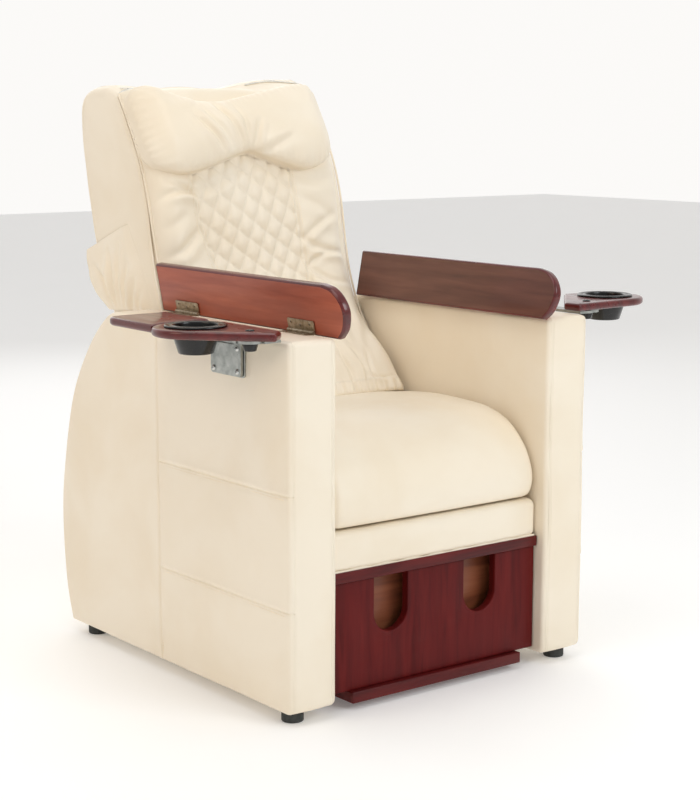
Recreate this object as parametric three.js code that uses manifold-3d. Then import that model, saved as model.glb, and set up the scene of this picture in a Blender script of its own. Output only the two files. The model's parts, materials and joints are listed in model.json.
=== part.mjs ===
// A pedicure spa chair: upholstered arms, a padded seat, a reclining massage back, two flip-over
// armrest boards, two swivelling cup trays and a foot-basin drawer under the seat.
// Millimetres, +Z up. The chair faces -Y; the sitter's right is -X.
// Every size below is in the chair's own build frame: x = 0 is the middle of the seat, y = 0 is the
// plane of the arm fronts and z = 0 is the floor. The whole group is moved at the end so that the
// origin is on the floor under the middle of the overall box.
import * as THREE from "three";
import { mergeVertices } from "three/addons/utils/BufferGeometryUtils.js";
import Module from "manifold-3d";

const wasm = await Module();
wasm.setup();

// ---------------------------------------------------------------- driving dimensions
const ORIGIN = { x: 32, y: 434 };
const GAP = 0.35;
const PLAY = 1;

const ARM = {
  inner: 249,
  outer: 352,
  bottom: 22,
  top: 678,
  edge: 10,
  skin: 13,
  board: 18,
};
const FOOT = { radius: 20, height: 22, front: 40, rear: 725, x: 318 };

const OPENING = ARM.inner - 1.5;
const DRAWER = {
  halfWidth: OPENING - 1,
  front: 25,
  thick: 18,
  bottom: 34,
  top: 236,
  slotX: 107,
  slotWidth: 78,
  slotCentreZ: 169,
  pocket: 21,
  boxHalf: 236,
  boxDepth: 400,
  boxTop: 226,
  wall: 12,
};
const PLINTH = { halfWidth: 204, front: 13, back: 410, bottom: 13 };
const RUNNER = { z: 115, height: 30, groove: 10, front: 70, back: 450 };
const TOP_RAIL = { front: 18, back: 100, bottom: 237, top: 257 };
const FRONT_RAIL = { front: 22, back: 98, top: 329 };
const DECK = { front: 56, back: 440, bottom: 330, top: 342 };
const SEAT = { halfWidth: 244, back: 425, top: 500 };

const RECLINE = { y: 600, z: 360, axle: 8 };
const BACK = {
  shellHalf: 242,
  wall: 12,
  padHalf: 229,
  padThick: 38,
  frameTop: { y: 795, z: 1060 },
};
const ACTUATOR = {
  tail: { y: 150, z: 285 },
  pin: 5,
  lever: { y: -10, z: -90 },
  tube: 21,
  rod: 9,
  play: 5,
};
const MASSAGE = { railX: 95, rail: 9, rollerX: 62, roller: 26, step: 70, reach: 62, start: 320 };

const HINGE = {
  x: 253,
  z: 681.75,
  leaf: 2.5,
  knuckle: 4,
  pin: 1.8,
  width: 78,
  leafLength: 21,
  centres: [100, 470],
};
const BOARD = { open: 79.5, from: -7, width: 88, thick: 18, rear: 568, gap: 4.3 };
const TRAY = {
  pivotX: 397,
  pivotY: 48,
  top: 698,
  thick: 15,
  lobe: 76,
  cupX: 38,
  cupY: 109,
  hole: 43,
  swing: 44,
  diagonal: 47.2,
  edge: 158,
};
const SHELF = { inner: 354, outer: 484, rear: 386, clear: 196 };
const SUPPORT = { thick: 5, inner: 353, outer: 386, front: 20, rear: 335, ear: 24 };
const BRACKET = { front: 124, rear: 222, bottom: 604, top: 677, thick: 12, pocket: 5.6 };
const CUP = { flange: 55, lip: 4, body: 41, base: 30, drop: 32, wall: 2.5 };

// ---------------------------------------------------------------- materials
function surface(colour, roughness, metalness = 0) {
  return () => new THREE.MeshStandardMaterial({ color: colour, roughness, metalness });
}
const leather = surface(0xf1e6d0, 0.45);
const cherry = surface(0x5d1f1e, 0.3);
const plywood = surface(0xb08a5c, 0.7);
const steel = surface(0x9aa09c, 0.35, 1);
const bronze = surface(0x6e6455, 0.4, 1);
const blackPlastic = surface(0x141414, 0.3);
const rubber = surface(0x202020, 0.8);

// ---------------------------------------------------------------- geometry helpers
// Axes of an extruded outline: the outline's own x, its own y and the direction it is pushed in.
const ACROSS = [new THREE.Vector3(0, 1, 0), new THREE.Vector3(0, 0, 1), new THREE.Vector3(1, 0, 0)];
const UP = [new THREE.Vector3(1, 0, 0), new THREE.Vector3(0, 1, 0), new THREE.Vector3(0, 0, 1)];
const BACKWARD = [new THREE.Vector3(0, 0, 1), new THREE.Vector3(1, 0, 0), new THREE.Vector3(0, 1, 0)];

// An outline pushed from one level to another along the third of the axes.
function prism(shape, axes, from, to, segments = 6) {
  const options = { depth: to - from, bevelEnabled: false, curveSegments: segments };
  const geometry = new THREE.ExtrudeGeometry(shape, options).translate(0, 0, from);
  return geometry.applyMatrix4(new THREE.Matrix4().makeBasis(...axes));
}

// A closed outline through corners [x, y, radius], each corner rounded by its radius.
function roundedOutline(corners) {
  const shape = new THREE.Shape();
  corners.forEach(([x, y, radius = 0], i) => {
    const at = new THREE.Vector2(x, y);
    const before = new THREE.Vector2(...corners.at(i - 1));
    const after = new THREE.Vector2(...corners[(i + 1) % corners.length]);
    const inward = before.sub(at).normalize();
    const outward = after.sub(at).normalize();
    const half = Math.acos(THREE.MathUtils.clamp(inward.dot(outward), -1, 1)) / 2;
    const reach = radius / Math.tan(half);
    const enter = at.clone().addScaledVector(inward, reach);
    const leave = at.clone().addScaledVector(outward, reach);
    if (i === 0) shape.moveTo(enter.x, enter.y);
    else shape.lineTo(enter.x, enter.y);
    if (radius > 0) shape.quadraticCurveTo(at.x, at.y, leave.x, leave.y);
  });
  shape.closePath();
  return shape;
}

// A smooth curve through points, given as [a, b] pairs, sampled into straight steps.
function smooth(points, steps) {
  return new THREE.SplineCurve(points.map((p) => new THREE.Vector2(...p))).getPoints(steps);
}

function outlineOf(points) {
  return new THREE.Shape(points.map((p) => new THREE.Vector2(p.x ?? p[0], p.y ?? p[1])));
}

function box(x0, x1, y0, y1, z0, z1) {
  const geometry = new THREE.BoxGeometry(x1 - x0, y1 - y0, z1 - z0);
  return geometry.translate((x0 + x1) / 2, (y0 + y1) / 2, (z0 + z1) / 2);
}

// A round bar along X, Y or Z through a centre point.
function bar(axis, radius, length, x, y, z, sides = 24) {
  const geometry = new THREE.CylinderGeometry(radius, radius, length, sides);
  if (axis === "x") geometry.rotateZ(Math.PI / 2);
  if (axis === "z") geometry.rotateX(Math.PI / 2);
  return geometry.translate(x, y, z);
}

function dome(axis, side, radius, height, x, y, z) {
  const geometry = new THREE.SphereGeometry(radius, 12, 6);
  const flat = axis === "x" ? [height / radius, 1, 1] : [1, 1, height / radius];
  return geometry.scale(...flat).translate(x + (axis === "x" ? side : 0), y, z);
}

function solid(geometry) {
  const bare = geometry.clone();
  for (const name of Object.keys(bare.attributes)) {
    if (name !== "position") bare.deleteAttribute(name);
  }
  const merged = mergeVertices(bare, 1e-4);
  const vertProperties = new Float32Array(merged.attributes.position.array);
  const triVerts = new Uint32Array(merged.index.array);
  return new wasm.Manifold(new wasm.Mesh({ numProp: 3, vertProperties, triVerts }));
}

function geometryOf(body) {
  const { vertProperties, triVerts } = body.getMesh();
  const geometry = new THREE.BufferGeometry();
  geometry.setAttribute("position", new THREE.BufferAttribute(vertProperties, 3));
  geometry.setIndex(new THREE.BufferAttribute(triVerts, 1));
  geometry.computeVertexNormals();
  return geometry;
}

function join(...pieces) {
  return geometryOf(pieces.map(solid).reduce((a, b) => a.add(b)));
}

function cut(from, ...tools) {
  return geometryOf(tools.map(solid).reduce((a, b) => a.subtract(b), solid(from)));
}

// The mirror image of a geometry on the other side of the chair, with its faces turned back out.
function mirrored(geometry) {
  return geometryOf(solid(geometry).mirror([1, 0, 0]));
}

const chair = new THREE.Group();

function add(name, geometry, material, parent = chair) {
  const mesh = new THREE.Mesh(geometry, material());
  mesh.name = name;
  parent.add(mesh);
  return mesh;
}

// Builds one piece for the sitter's left (+X) and its mirror image for the right (-X).
function addPair(name, geometry, material) {
  add("left_" + name, geometry, material);
  add("right_" + name, mirrored(geometry), material);
}

// ---------------------------------------------------------------- arms
// The rear edge of an arm seen from the side, from the foot up to the top, as [y, z].
const ARM_REAR = [
  [773, ARM.bottom],
  [797, 100],
  [807, 226],
  [798, 333],
  [753, 495],
  [683, 604],
  [612, 668],
  [572, ARM.top],
];

function armCover() {
  const r = ARM.edge;
  const start = [new THREE.Vector2(0, ARM.top - r), new THREE.Vector2(0, ARM.bottom)];
  const front = [new THREE.Vector2(r, ARM.top), new THREE.Vector2(r * 0.3, ARM.top - r * 0.3)];
  const outline = outlineOf([...start, ...smooth(ARM_REAR, 18), ...front]);
  const body = prism(outline, ACROSS, ARM.inner, ARM.outer);
  const bevel = (x, side) =>
    prism(
      outlineOf([
        [ARM.top + 1, x + side],
        [ARM.top + 1, x - side * r],
        [ARM.top - r * 0.3, x - side * r * 0.3],
        [ARM.top - r, x + side],
      ]),
      BACKWARD,
      -1,
      ARM_REAR[0][0] + 60,
    );
  const s = ARM.skin;
  const hollow = outlineOf([
    [s, ARM.bottom - 1],
    [758, ARM.bottom - 1],
    [780, 100],
    [792, 226],
    [782, 333],
    [740, 487],
    [664, 600],
    [584, ARM.top - s],
    [s, ARM.top - s],
  ]);
  const inside = prism(hollow, ACROSS, ARM.inner + s, ARM.outer - s);
  return cut(body, bevel(ARM.inner, -1), bevel(ARM.outer, 1), inside);
}

function armBoard() {
  const outline = outlineOf([
    [ARM.skin + PLAY, ARM.bottom],
    [750, ARM.bottom],
    [785, 226],
    [775, 333],
    [735, 480],
    [655, 600],
    [580, ARM.top - ARM.skin - PLAY],
    [ARM.skin + PLAY, ARM.top - ARM.skin - PLAY],
  ]);
  const inner = ARM.inner + ARM.skin + PLAY;
  return prism(outline, ACROSS, inner, inner + ARM.board);
}

addPair("arm_cover", armCover(), leather);
addPair("arm_board", armBoard(), plywood);

function foot(x, y) {
  const { radius, height } = FOOT;
  const profile = [
    [0, 0],
    [radius - 2, 0],
    [radius, 3],
    [radius, height - 4],
    [radius - 5, height - GAP],
    [0, height - GAP],
  ].map((p) => new THREE.Vector2(...p));
  return new THREE.LatheGeometry(profile, 24).rotateX(Math.PI / 2).translate(x, y, 0);
}

// A foot sits under the arm board's line and reaches under both skins of the arm cover.
addPair("front_foot", foot(FOOT.x, FOOT.front), rubber);
addPair("rear_foot", foot(FOOT.x, FOOT.rear), rubber);

// ---------------------------------------------------------------- base between the arms
function frontCrossRail() {
  const half = OPENING;
  const { y, z } = ACTUATOR.tail;
  const rail = box(-half, half, 100 + GAP, 126, 258, DECK.bottom - GAP);
  const ears = [-1, 1].map((side) => box(side * 34 - 4, side * 34 + 4, 125, y + 12, z - 16, z + 16));
  return join(rail, ...ears, bar("x", ACTUATOR.pin, 68, 0, y, z));
}

add("front_cross_rail", frontCrossRail(), plywood);
add("rear_cross_rail", box(-OPENING, OPENING, 640, 666, 90, 160), plywood);
add("recline_axle", bar("x", RECLINE.axle, 2 * OPENING, 0, RECLINE.y, RECLINE.z), steel);
add("seat_deck", box(-OPENING, OPENING, DECK.front, DECK.back, DECK.bottom, DECK.top), plywood);

function frontRail() {
  const { front, back, top } = FRONT_RAIL;
  const bottom = TOP_RAIL.top + GAP;
  const outline = roundedOutline([
    [front + 3, bottom],
    [back, bottom],
    [back, top],
    [front, top, 12],
  ]);
  return prism(outline, ACROSS, -OPENING + GAP, OPENING - GAP, 4);
}

add("front_rail_pad", frontRail(), leather);
const railFront = TOP_RAIL.front;
const topRail = box(-OPENING, OPENING, railFront, TOP_RAIL.back, TOP_RAIL.bottom, TOP_RAIL.top);
add("drawer_top_rail", topRail, cherry);

function seatCushion() {
  const bottom = DECK.top + GAP;
  const { back, top } = SEAT;
  const crown = [
    [40, bottom - 7],
    [24, bottom + 2],
    [18, bottom + 22],
    [24, bottom + 52],
    [48, bottom + 98],
    [88, top - 24],
    [145, top - 6],
    [230, top],
    [330, top - 1],
    [back - 12, top - 8],
  ];
  const outline = outlineOf([[back, bottom], [50, bottom], ...smooth(crown, 16), [back, top - 24]]);
  return prism(outline, ACROSS, -SEAT.halfWidth, SEAT.halfWidth);
}

add("seat_cushion", seatCushion(), leather);

function rearPanel() {
  const outer = [
    [762, 40],
    [784, 110],
    [793, 226],
    [785, 333],
    [757, 430],
  ];
  const inner = outer.map(([y, z]) => [y - 14, z]).reverse();
  return prism(outlineOf([...smooth(outer, 8), ...smooth(inner, 8)]), ACROSS, -OPENING, OPENING);
}

add("rear_panel", rearPanel(), leather);

function powerInlet() {
  const y = 790;
  const plate = box(140, 200, y - 4, y + 4, 105, 145);
  const socket = box(152, 188, y - 1, y + 5, 113, 137);
  const pins = [158, 170, 182].map((x) => box(x - 1.5, x + 1.5, y - 2, y + 3, 121, 129));
  return join(cut(plate, socket), ...pins);
}

add("power_inlet", cut(powerInlet(), rearPanel().translate(0, GAP, 0)), blackPlastic);

// ---------------------------------------------------------------- drawer
function drawerFront() {
  const { halfWidth, front, thick, bottom, top, slotX, slotWidth, slotCentreZ } = DRAWER;
  const r = slotWidth / 2;
  const outline = new THREE.Shape();
  outline.moveTo(-halfWidth, bottom);
  outline.lineTo(halfWidth, bottom);
  outline.lineTo(halfWidth, top);
  for (const x of [slotX, -slotX]) {
    outline.lineTo(x + r, top);
    outline.lineTo(x + r, slotCentreZ);
    outline.absarc(x, slotCentreZ, r, 0, -Math.PI, true);
    outline.lineTo(x - r, top);
  }
  outline.lineTo(-halfWidth, top);
  const axes = [UP[0], UP[2], UP[1].clone().negate()];
  return prism(outline, axes, -front - thick, -front, 12);
}

function drawerBox() {
  const { front, thick, bottom, boxHalf, boxDepth, boxTop, wall, pocket } = DRAWER;
  const y0 = front + thick + GAP;
  const y1 = y0 + boxDepth;
  const sub = y0 + pocket;
  const outer = box(-boxHalf, boxHalf, y0, y1, bottom + GAP, boxTop);
  const inside = [boxHalf - wall, y1 - wall, bottom + wall];
  const basin = box(-inside[0], inside[0], sub + wall, inside[1], inside[2], boxTop + 1);
  const fingers = box(-inside[0], inside[0], y0 - 1, sub, inside[2], boxTop + 1);
  const rib = (side) => {
    const x = side * (boxHalf + 2.5);
    return box(x - 3.5, x + 3.5, RUNNER.front, y1 - 20, RUNNER.z - 4, RUNNER.z + 4);
  };
  return join(cut(outer, basin, fingers), rib(1), rib(-1));
}

function runner() {
  const { z, height, groove, front, back } = RUNNER;
  const x0 = DRAWER.boxHalf + 2;
  const channel = box(x0, ARM.inner - GAP, front - 10, back, z - height / 2, z + height / 2);
  return cut(channel, box(x0 - 1, x0 + 6, front - 11, back + 1, z - groove / 2, z + groove / 2));
}

const plinthTop = DRAWER.bottom - GAP;
const plinthHalf = PLINTH.halfWidth;
add("drawer_front", drawerFront(), cherry);
add("drawer_box", drawerBox(), plywood);
const plinth = box(-plinthHalf, plinthHalf, PLINTH.front, PLINTH.back, PLINTH.bottom, plinthTop);
add("drawer_plinth", plinth, cherry);
addPair("drawer_runner", runner(), steel);

// ---------------------------------------------------------------- reclining back
// The line where the back pad meets the shell, from the top down to the seat, as [y, z].
const PAD_BACK = [
  [738, 1096],
  [703, 1044],
  [664, 978],
  [640, 920],
  [624, 860],
  [612, 790],
  [596, 724],
  [566, 656],
  [522, 594],
  [476, 542],
];

// The back of the shell from the bottom up over the top, as [y, z].
const SHELL_REAR = [
  [722, 566],
  [786, 664],
  [822, 728],
  [848, 798],
  [869, 880],
  [889, 982],
  [895, 1050],
  [884, 1090],
  [850, 1108],
  [790, 1112],
];

// Points moved square to the path they lie on, by a distance given for each point.
function offset(points, distance) {
  return points.map((p, i) => {
    const before = points[Math.max(i - 1, 0)];
    const after = points[Math.min(i + 1, points.length - 1)];
    const along = new THREE.Vector2().subVectors(after, before).normalize();
    return new THREE.Vector2(p.x + along.y * distance, p.y - along.x * distance);
  });
}

function backShell() {
  const front = smooth(PAD_BACK, 16);
  const rear = smooth(SHELL_REAR, 20);
  const outer = prism(outlineOf([...front, ...rear]), ACROSS, -BACK.shellHalf, BACK.shellHalf);
  const wall = BACK.wall;
  const inRear = offset(rear, -wall).slice(1, -1);
  const lowest = SHELL_REAR[0][1] + wall;
  const mouth = offset(front, 60).filter((p) => p.y > lowest);
  const ceiling = SHELL_REAR.at(-1)[1] - wall;
  const hollow = outlineOf([
    [mouth[0].x, ceiling],
    ...mouth,
    [mouth.at(-1).x, lowest],
    [inRear[0].x, lowest],
    ...inRear.filter((p) => p.y > lowest && p.y < ceiling),
    [inRear.at(-1).x, ceiling],
  ]);
  const half = BACK.shellHalf - wall;
  // The back frame leaves the shell through a slot in its floor on each side.
  const slots = [-1, 1].map((side) => box(side * 205 - 17, side * 205 + 17, 590, 720, 480, 620));
  return cut(outer, prism(hollow, ACROSS, -half, half), ...slots);
}

function backPad() {
  const back = smooth(PAD_BACK, 16);
  const rear = offset(back, GAP);
  const front = offset(back, BACK.padThick);
  const tail = [new THREE.Vector2(438, 502), new THREE.Vector2(458, 496)];
  const outline = outlineOf([...rear.reverse(), ...front, ...tail]);
  return prism(outline, ACROSS, -BACK.padHalf, BACK.padHalf);
}

// The pillow lies on the upper face of the pad; its length runs across the chair.
function headPillow() {
  const face = offset(smooth(PAD_BACK, 16), BACK.padThick + GAP);
  const seat = face.filter((p) => p.y > 965);
  const bulge = offset(seat, 52).slice(1, -1);
  const outline = outlineOf([...seat.reverse(), ...bulge]);
  return prism(outline, ACROSS, -222, 222);
}

// The direction in which the back rises, from the recline axle, as a unit vector [y, z].
const rise = new THREE.Vector2(
  BACK.frameTop.y - RECLINE.y,
  BACK.frameTop.z - RECLINE.z,
).normalize();

// A group whose own Z runs up the back and whose own Y points out of its rear, set on the axle.
function backGroup() {
  const group = new THREE.Group();
  group.position.set(0, RECLINE.y, RECLINE.z);
  group.rotation.x = -Math.atan2(rise.x, rise.y);
  return group;
}

function backFrame() {
  const length = Math.hypot(BACK.frameTop.y - RECLINE.y, BACK.frameTop.z - RECLINE.z);
  const post = (x) => box(x - 8, x + 8, -15, 15, -18, length);
  const crossbar = (z) => box(-205, 205, -9, 9, z - 12, z + 12);
  const angle = -Math.atan2(rise.x, rise.y);
  const tilt = (g) => g.rotateX(angle).translate(0, RECLINE.y, RECLINE.z);
  const levels = [150, 254, length - 40];
  const frame = join(post(-205), post(205), ...levels.map(crossbar));
  const lever = ACTUATOR.lever;
  const pinY = RECLINE.y + lever.y;
  const pinZ = RECLINE.z + lever.z;
  const sleeve = bar("x", RECLINE.axle + 8, 426, 0, RECLINE.y, RECLINE.z);
  const arm = (x) => box(x - 4, x + 4, pinY - 12, pinY + 24, pinZ - 12, RECLINE.z);
  const pin = bar("x", ACTUATOR.pin, 52, 0, pinY, pinZ);
  const bore = bar("x", RECLINE.axle + 0.6, 440, 0, RECLINE.y, RECLINE.z);
  const whole = join(tilt(frame), sleeve, arm(-24), arm(24), pin);
  return cut(whole, bore);
}

add("back_shell", backShell(), leather);
add("back_pad", backPad(), leather);
add("head_pillow", headPillow(), leather);
add("back_frame", backFrame(), steel);

function gusset() {
  const outline = roundedOutline([
    [604, 690, 10],
    [786, 668, 20],
    [856, 776, 14],
    [694, 838, 10],
  ]);
  return prism(outline, ACROSS, BACK.shellHalf + GAP, ARM.inner - PLAY);
}

addPair("side_gusset", gusset(), leather);

// A loose cover that closes the back between the rear panel and the shell's lower edge.
function rearSkirt() {
  const outer = [
    [756, 431],
    [757, 480],
    [744, 530],
    [724, 565],
  ];
  const inner = outer.map(([y, z]) => [y - 5, z]).reverse();
  const half = OPENING - 6;
  return prism(outlineOf([...smooth(outer, 6), ...smooth(inner, 6)]), ACROSS, -half, half);
}

add("rear_skirt", rearSkirt(), leather);

// Two upright rails hold the massage carriage and run between the frame's crossbars.
function massageRails() {
  const from = 268;
  const to = Math.hypot(BACK.frameTop.y - RECLINE.y, BACK.frameTop.z - RECLINE.z) - 52;
  const rail = (x) => bar("z", MASSAGE.rail, to - from, x, 0, (from + to) / 2, 16);
  const tie = (z) => box(-95, 95, -4, 4, z - 4, z + 4);
  return join(rail(-MASSAGE.railX), rail(MASSAGE.railX), tie(from + 6), tie(to - 6));
}

function massageCarriage() {
  const { railX, rail, rollerX, step, reach, start } = MASSAGE;
  const body = box(-railX - 20, railX + 20, -22, 22, start - 30, start + 30 + step);
  const motor = bar("x", 26, 90, 0, 34, start + step / 2);
  const arm = (x, z) => box(x - 5, x + 5, -reach - 8, -18, z - 9, z + 9);
  const axle = (x, z) => bar("x", 4, 44, x + Math.sign(x) * 20, -reach, z, 12);
  const parts = [body, motor];
  for (const x of [-rollerX + 22, rollerX - 22]) {
    for (const z of [start, start + step]) {
      parts.push(arm(x, z), axle(x, z));
    }
  }
  const bore = (x) => bar("z", rail + 0.8, 400, x, 0, start, 16);
  return cut(join(...parts), bore(-railX), bore(railX));
}

function massageRoller() {
  const r = MASSAGE.roller;
  const profile = [
    [4.8, -12],
    [r - 6, -12],
    [r - 1, -7],
    [r, 0],
    [r - 1, 7],
    [r - 6, 12],
    [4.8, 12],
    [4.8, -12],
  ].map((p) => new THREE.Vector2(...p));
  return new THREE.LatheGeometry(profile, 20).rotateZ(-Math.PI / 2);
}

const mechanism = backGroup();
chair.add(mechanism);
add("massage_rails", massageRails(), steel, mechanism);
add("massage_carriage", massageCarriage(), blackPlastic, mechanism);
const levels = { lower: MASSAGE.start, upper: MASSAGE.start + MASSAGE.step };
for (const [level, z] of Object.entries(levels)) {
  for (const [side, sign] of [["left", 1], ["right", -1]]) {
    const roller = add(level + "_" + side + "_roller", massageRoller(), rubber, mechanism);
    roller.position.set(sign * MASSAGE.rollerX, -MASSAGE.reach, z);
  }
}

// ---------------------------------------------------------------- recline actuator
// Both actuator pieces lie along the line from the tail pin to the back frame's lever pin.
const leverAt = new THREE.Vector2(
  RECLINE.y + ACTUATOR.lever.y - ACTUATOR.tail.y,
  RECLINE.z + ACTUATOR.lever.z - ACTUATOR.tail.z,
);
const actuator = new THREE.Group();
actuator.position.set(0, ACTUATOR.tail.y, ACTUATOR.tail.z);
actuator.rotation.x = Math.atan2(leverAt.y, leverAt.x);
chair.add(actuator);

function actuatorTube() {
  const { pin, tube, rod } = ACTUATOR;
  const tail = bar("x", 13, 24, 0, 0, 0);
  const neck = box(-9, 9, 4, 40, -10, 10);
  const barrel = bar("y", tube, 230, 0, 145, 0);
  const motor = bar("y", 24, 120, 48, 110, 0);
  const gearcase = box(-16, 62, 32, 56, -20, 20);
  const bore = bar("y", rod + 0.7, 230, 0, 175, 0);
  return cut(join(tail, neck, barrel, motor, gearcase), bore, bar("x", pin + 0.7, 30, 0, 0, 0));
}

// The rod's fork keeps clear play round the lever pin, where the real linkage closes.
function actuatorRod() {
  const reach = leverAt.length();
  const shaftEnd = reach - 10;
  const shaft = bar("y", ACTUATOR.rod, shaftEnd - 150, 0, (shaftEnd + 150) / 2, 0);
  const eye = bar("x", 16, 26, 0, reach, 0);
  return cut(join(shaft, eye), bar("x", ACTUATOR.pin + ACTUATOR.play, 30, 0, reach, 0));
}

add("actuator_tube", actuatorTube(), blackPlastic, actuator);
add("actuator_rod", actuatorRod(), steel, actuator);

// ---------------------------------------------------------------- flip boards and their hinges
// Each board is drawn lying closed on its arm, with u outward from the hinge line and w up from it,
// then turned up to where it stands open, leaning a little outward.
function openFlap(geometry) {
  const angle = -THREE.MathUtils.degToRad(BOARD.open);
  return geometry.rotateY(angle).translate(HINGE.x, 0, HINGE.z);
}

function flipBoard() {
  const { from, width, thick, rear, gap } = BOARD;
  const nose = smooth(
    [
      [from, -2],
      [from + 19, -20],
      [42, -28],
      [66, -18],
      [82, 2],
      [width, 28],
    ],
    14,
  );
  const outline = outlineOf([...nose, [width, rear], [from, rear]]);
  return openFlap(prism(outline, UP, gap, gap + thick));
}

// One leaf of a butt hinge: a screwed plate and its share of the five knuckles round the pin.
function hingeLeaf(centre, moving) {
  const { leaf, knuckle, pin, width, leafLength } = HINGE;
  const first = centre - width / 2;
  const share = width / 5;
  const level = moving ? knuckle - leaf - 0.3 : -knuckle + 0.35;
  const plate = box(2, leafLength, first, first + width, level, level + leaf);
  const rings = [];
  for (let i = moving ? 1 : 0; i < 5; i += 2) {
    rings.push(bar("y", knuckle, share - 0.8, 0, first + share * (i + 0.5), 0, 16));
  }
  const screws = [0.14, 0.5, 0.86].map((t, i) => {
    const u = i === 1 ? leafLength - 10 : leafLength - 6;
    return bar("z", 3.4, 1, u, first + width * t, moving ? level - 0.3 : level + leaf, 12);
  });
  const cleared = [];
  for (let i = moving ? 0 : 1; i < 5; i += 2) {
    const y = first + share * i;
    cleared.push(box(-5, knuckle + 0.8, y - 0.4, y + share + 0.4, -6, 6));
  }
  const body = cut(join(plate, ...rings, ...screws), ...cleared);
  if (moving) {
    return cut(body, bar("y", pin + 0.5, width + 2, 0, centre, 0, 12));
  }
  return join(body, bar("y", pin, width - 2, 0, centre, 0, 12));
}

addPair("flip_board", flipBoard(), cherry);
HINGE.centres.forEach((centre, i) => {
  const place = i === 0 ? "front" : "rear";
  const fixed = hingeLeaf(centre, false).translate(HINGE.x, 0, HINGE.z);
  addPair(place + "_hinge_arm_leaf", fixed, bronze);
  addPair(place + "_hinge_board_leaf", openFlap(hingeLeaf(centre, true)), bronze);
});

// ---------------------------------------------------------------- side trays
function side(name, group) {
  chair.add(group);
  group.name = name + "_tray_side";
  return group;
}

// The cup tray in its own frame, pivot at 0: a lobe round the cup and a straight edge to a blunt tip.
function cupTray() {
  const { lobe, cupX, cupY, thick, hole, diagonal, top } = TRAY;
  const along = THREE.MathUtils.degToRad(diagonal);
  const u = new THREE.Vector2(Math.cos(along), Math.sin(along));
  const v = new THREE.Vector2(u.y, -u.x);
  const cup = new THREE.Vector2(cupX, cupY);
  const edgeEnd = cup.clone().addScaledVector(v, lobe);
  const tip = edgeEnd.clone().addScaledVector(u, -TRAY.edge);
  const inner = SHELF.inner - TRAY.pivotX;
  const bluntY = tip.y + ((inner - tip.x) * v.y) / v.x;
  const outline = new THREE.Shape();
  outline.moveTo(tip.x, tip.y);
  outline.lineTo(edgeEnd.x, edgeEnd.y);
  outline.absarc(cup.x, cup.y, lobe, along - Math.PI / 2, Math.PI * 0.78, false);
  outline.lineTo(inner, cup.y + 30);
  outline.lineTo(inner, bluntY);
  outline.closePath();
  const plate = prism(outline, UP, top - thick, top, 24);
  const middle = top - thick / 2;
  return cut(plate, bar("z", hole, 2 * thick, cupX, cupY, middle, 40), bar("z", 5.6, 60, 0, 0, top));
}

function cupHolder() {
  const { flange, lip, body, base, drop, wall } = CUP;
  const bottom = -TRAY.thick - drop;
  const profile = [
    [0, bottom],
    [base, bottom],
    [base + 1.5, bottom + 2],
    [body - 1, -TRAY.thick],
    [body, -0.5],
    [body, GAP],
    [flange - 2, GAP],
    [flange, 1.5],
    [flange - 1.5, lip],
    [flange - 6, lip],
    [flange - 8, lip - 1.5],
    [flange - 11, lip - 1.5],
    [flange - 13, lip],
    [body - wall, lip],
    [body - wall, 0],
    [body - wall - 1, -TRAY.thick],
    [base - 1, bottom + wall],
    [0, bottom + wall],
  ].map((p) => new THREE.Vector2(...p));
  const geometry = new THREE.LatheGeometry(profile, 40).rotateX(Math.PI / 2);
  return geometry.translate(TRAY.cupX, TRAY.cupY, TRAY.top);
}

// The pivot bolt passes down through the tray and its support and ends in a tapered knob.
function pivotKnob() {
  const under = TRAY.top - TRAY.thick;
  const knobTop = under - SUPPORT.thick - 2 * GAP - 0.4;
  const profile = [
    [0, under - 19.5],
    [10.5, under - 19.5],
    [13.5, knobTop],
    [5, knobTop],
    [5, TRAY.top + GAP],
    [8, TRAY.top + GAP],
    [7, TRAY.top + 2],
    [0, TRAY.top + 2.6],
  ].map((p) => new THREE.Vector2(...p));
  return new THREE.LatheGeometry(profile, 24).rotateX(Math.PI / 2);
}

function sideShelf() {
  const { inner, outer, rear, clear } = SHELF;
  const centre = new THREE.Vector2(TRAY.pivotX, TRAY.pivotY);
  const from = Math.acos((outer - centre.x) / clear);
  const to = Math.acos((inner - centre.x) / clear);
  const outline = new THREE.Shape();
  outline.moveTo(outer, rear - 34);
  outline.quadraticCurveTo(outer, rear, outer - 34, rear);
  outline.lineTo(inner, rear);
  outline.absarc(centre.x, centre.y, clear, to, from, true);
  outline.closePath();
  return prism(outline, UP, TRAY.top - TRAY.thick, TRAY.top, 10);
}

// A flat steel plate under the shelf and tray, with a tongue that drops into the wall bracket.
function traySupport() {
  const { thick, inner, outer, front, rear, ear } = SUPPORT;
  const level = TRAY.top - TRAY.thick - GAP;
  const plate = box(inner, outer, front, rear, level - thick, level);
  const lug = bar("z", ear, thick, TRAY.pivotX, TRAY.pivotY, level - thick / 2, 32);
  const middle = ARM.outer + GAP + BRACKET.thick / 2;
  const half = BRACKET.pocket / 2 - 0.5;
  const sides = [BRACKET.front + 12, BRACKET.rear - 12];
  const tongue = box(middle - half, middle + half, ...sides, BRACKET.bottom + 12, level - 1);
  const bore = bar("z", 5.6, 40, TRAY.pivotX, TRAY.pivotY, level);
  return cut(join(plate, lug, tongue), bore);
}

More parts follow.
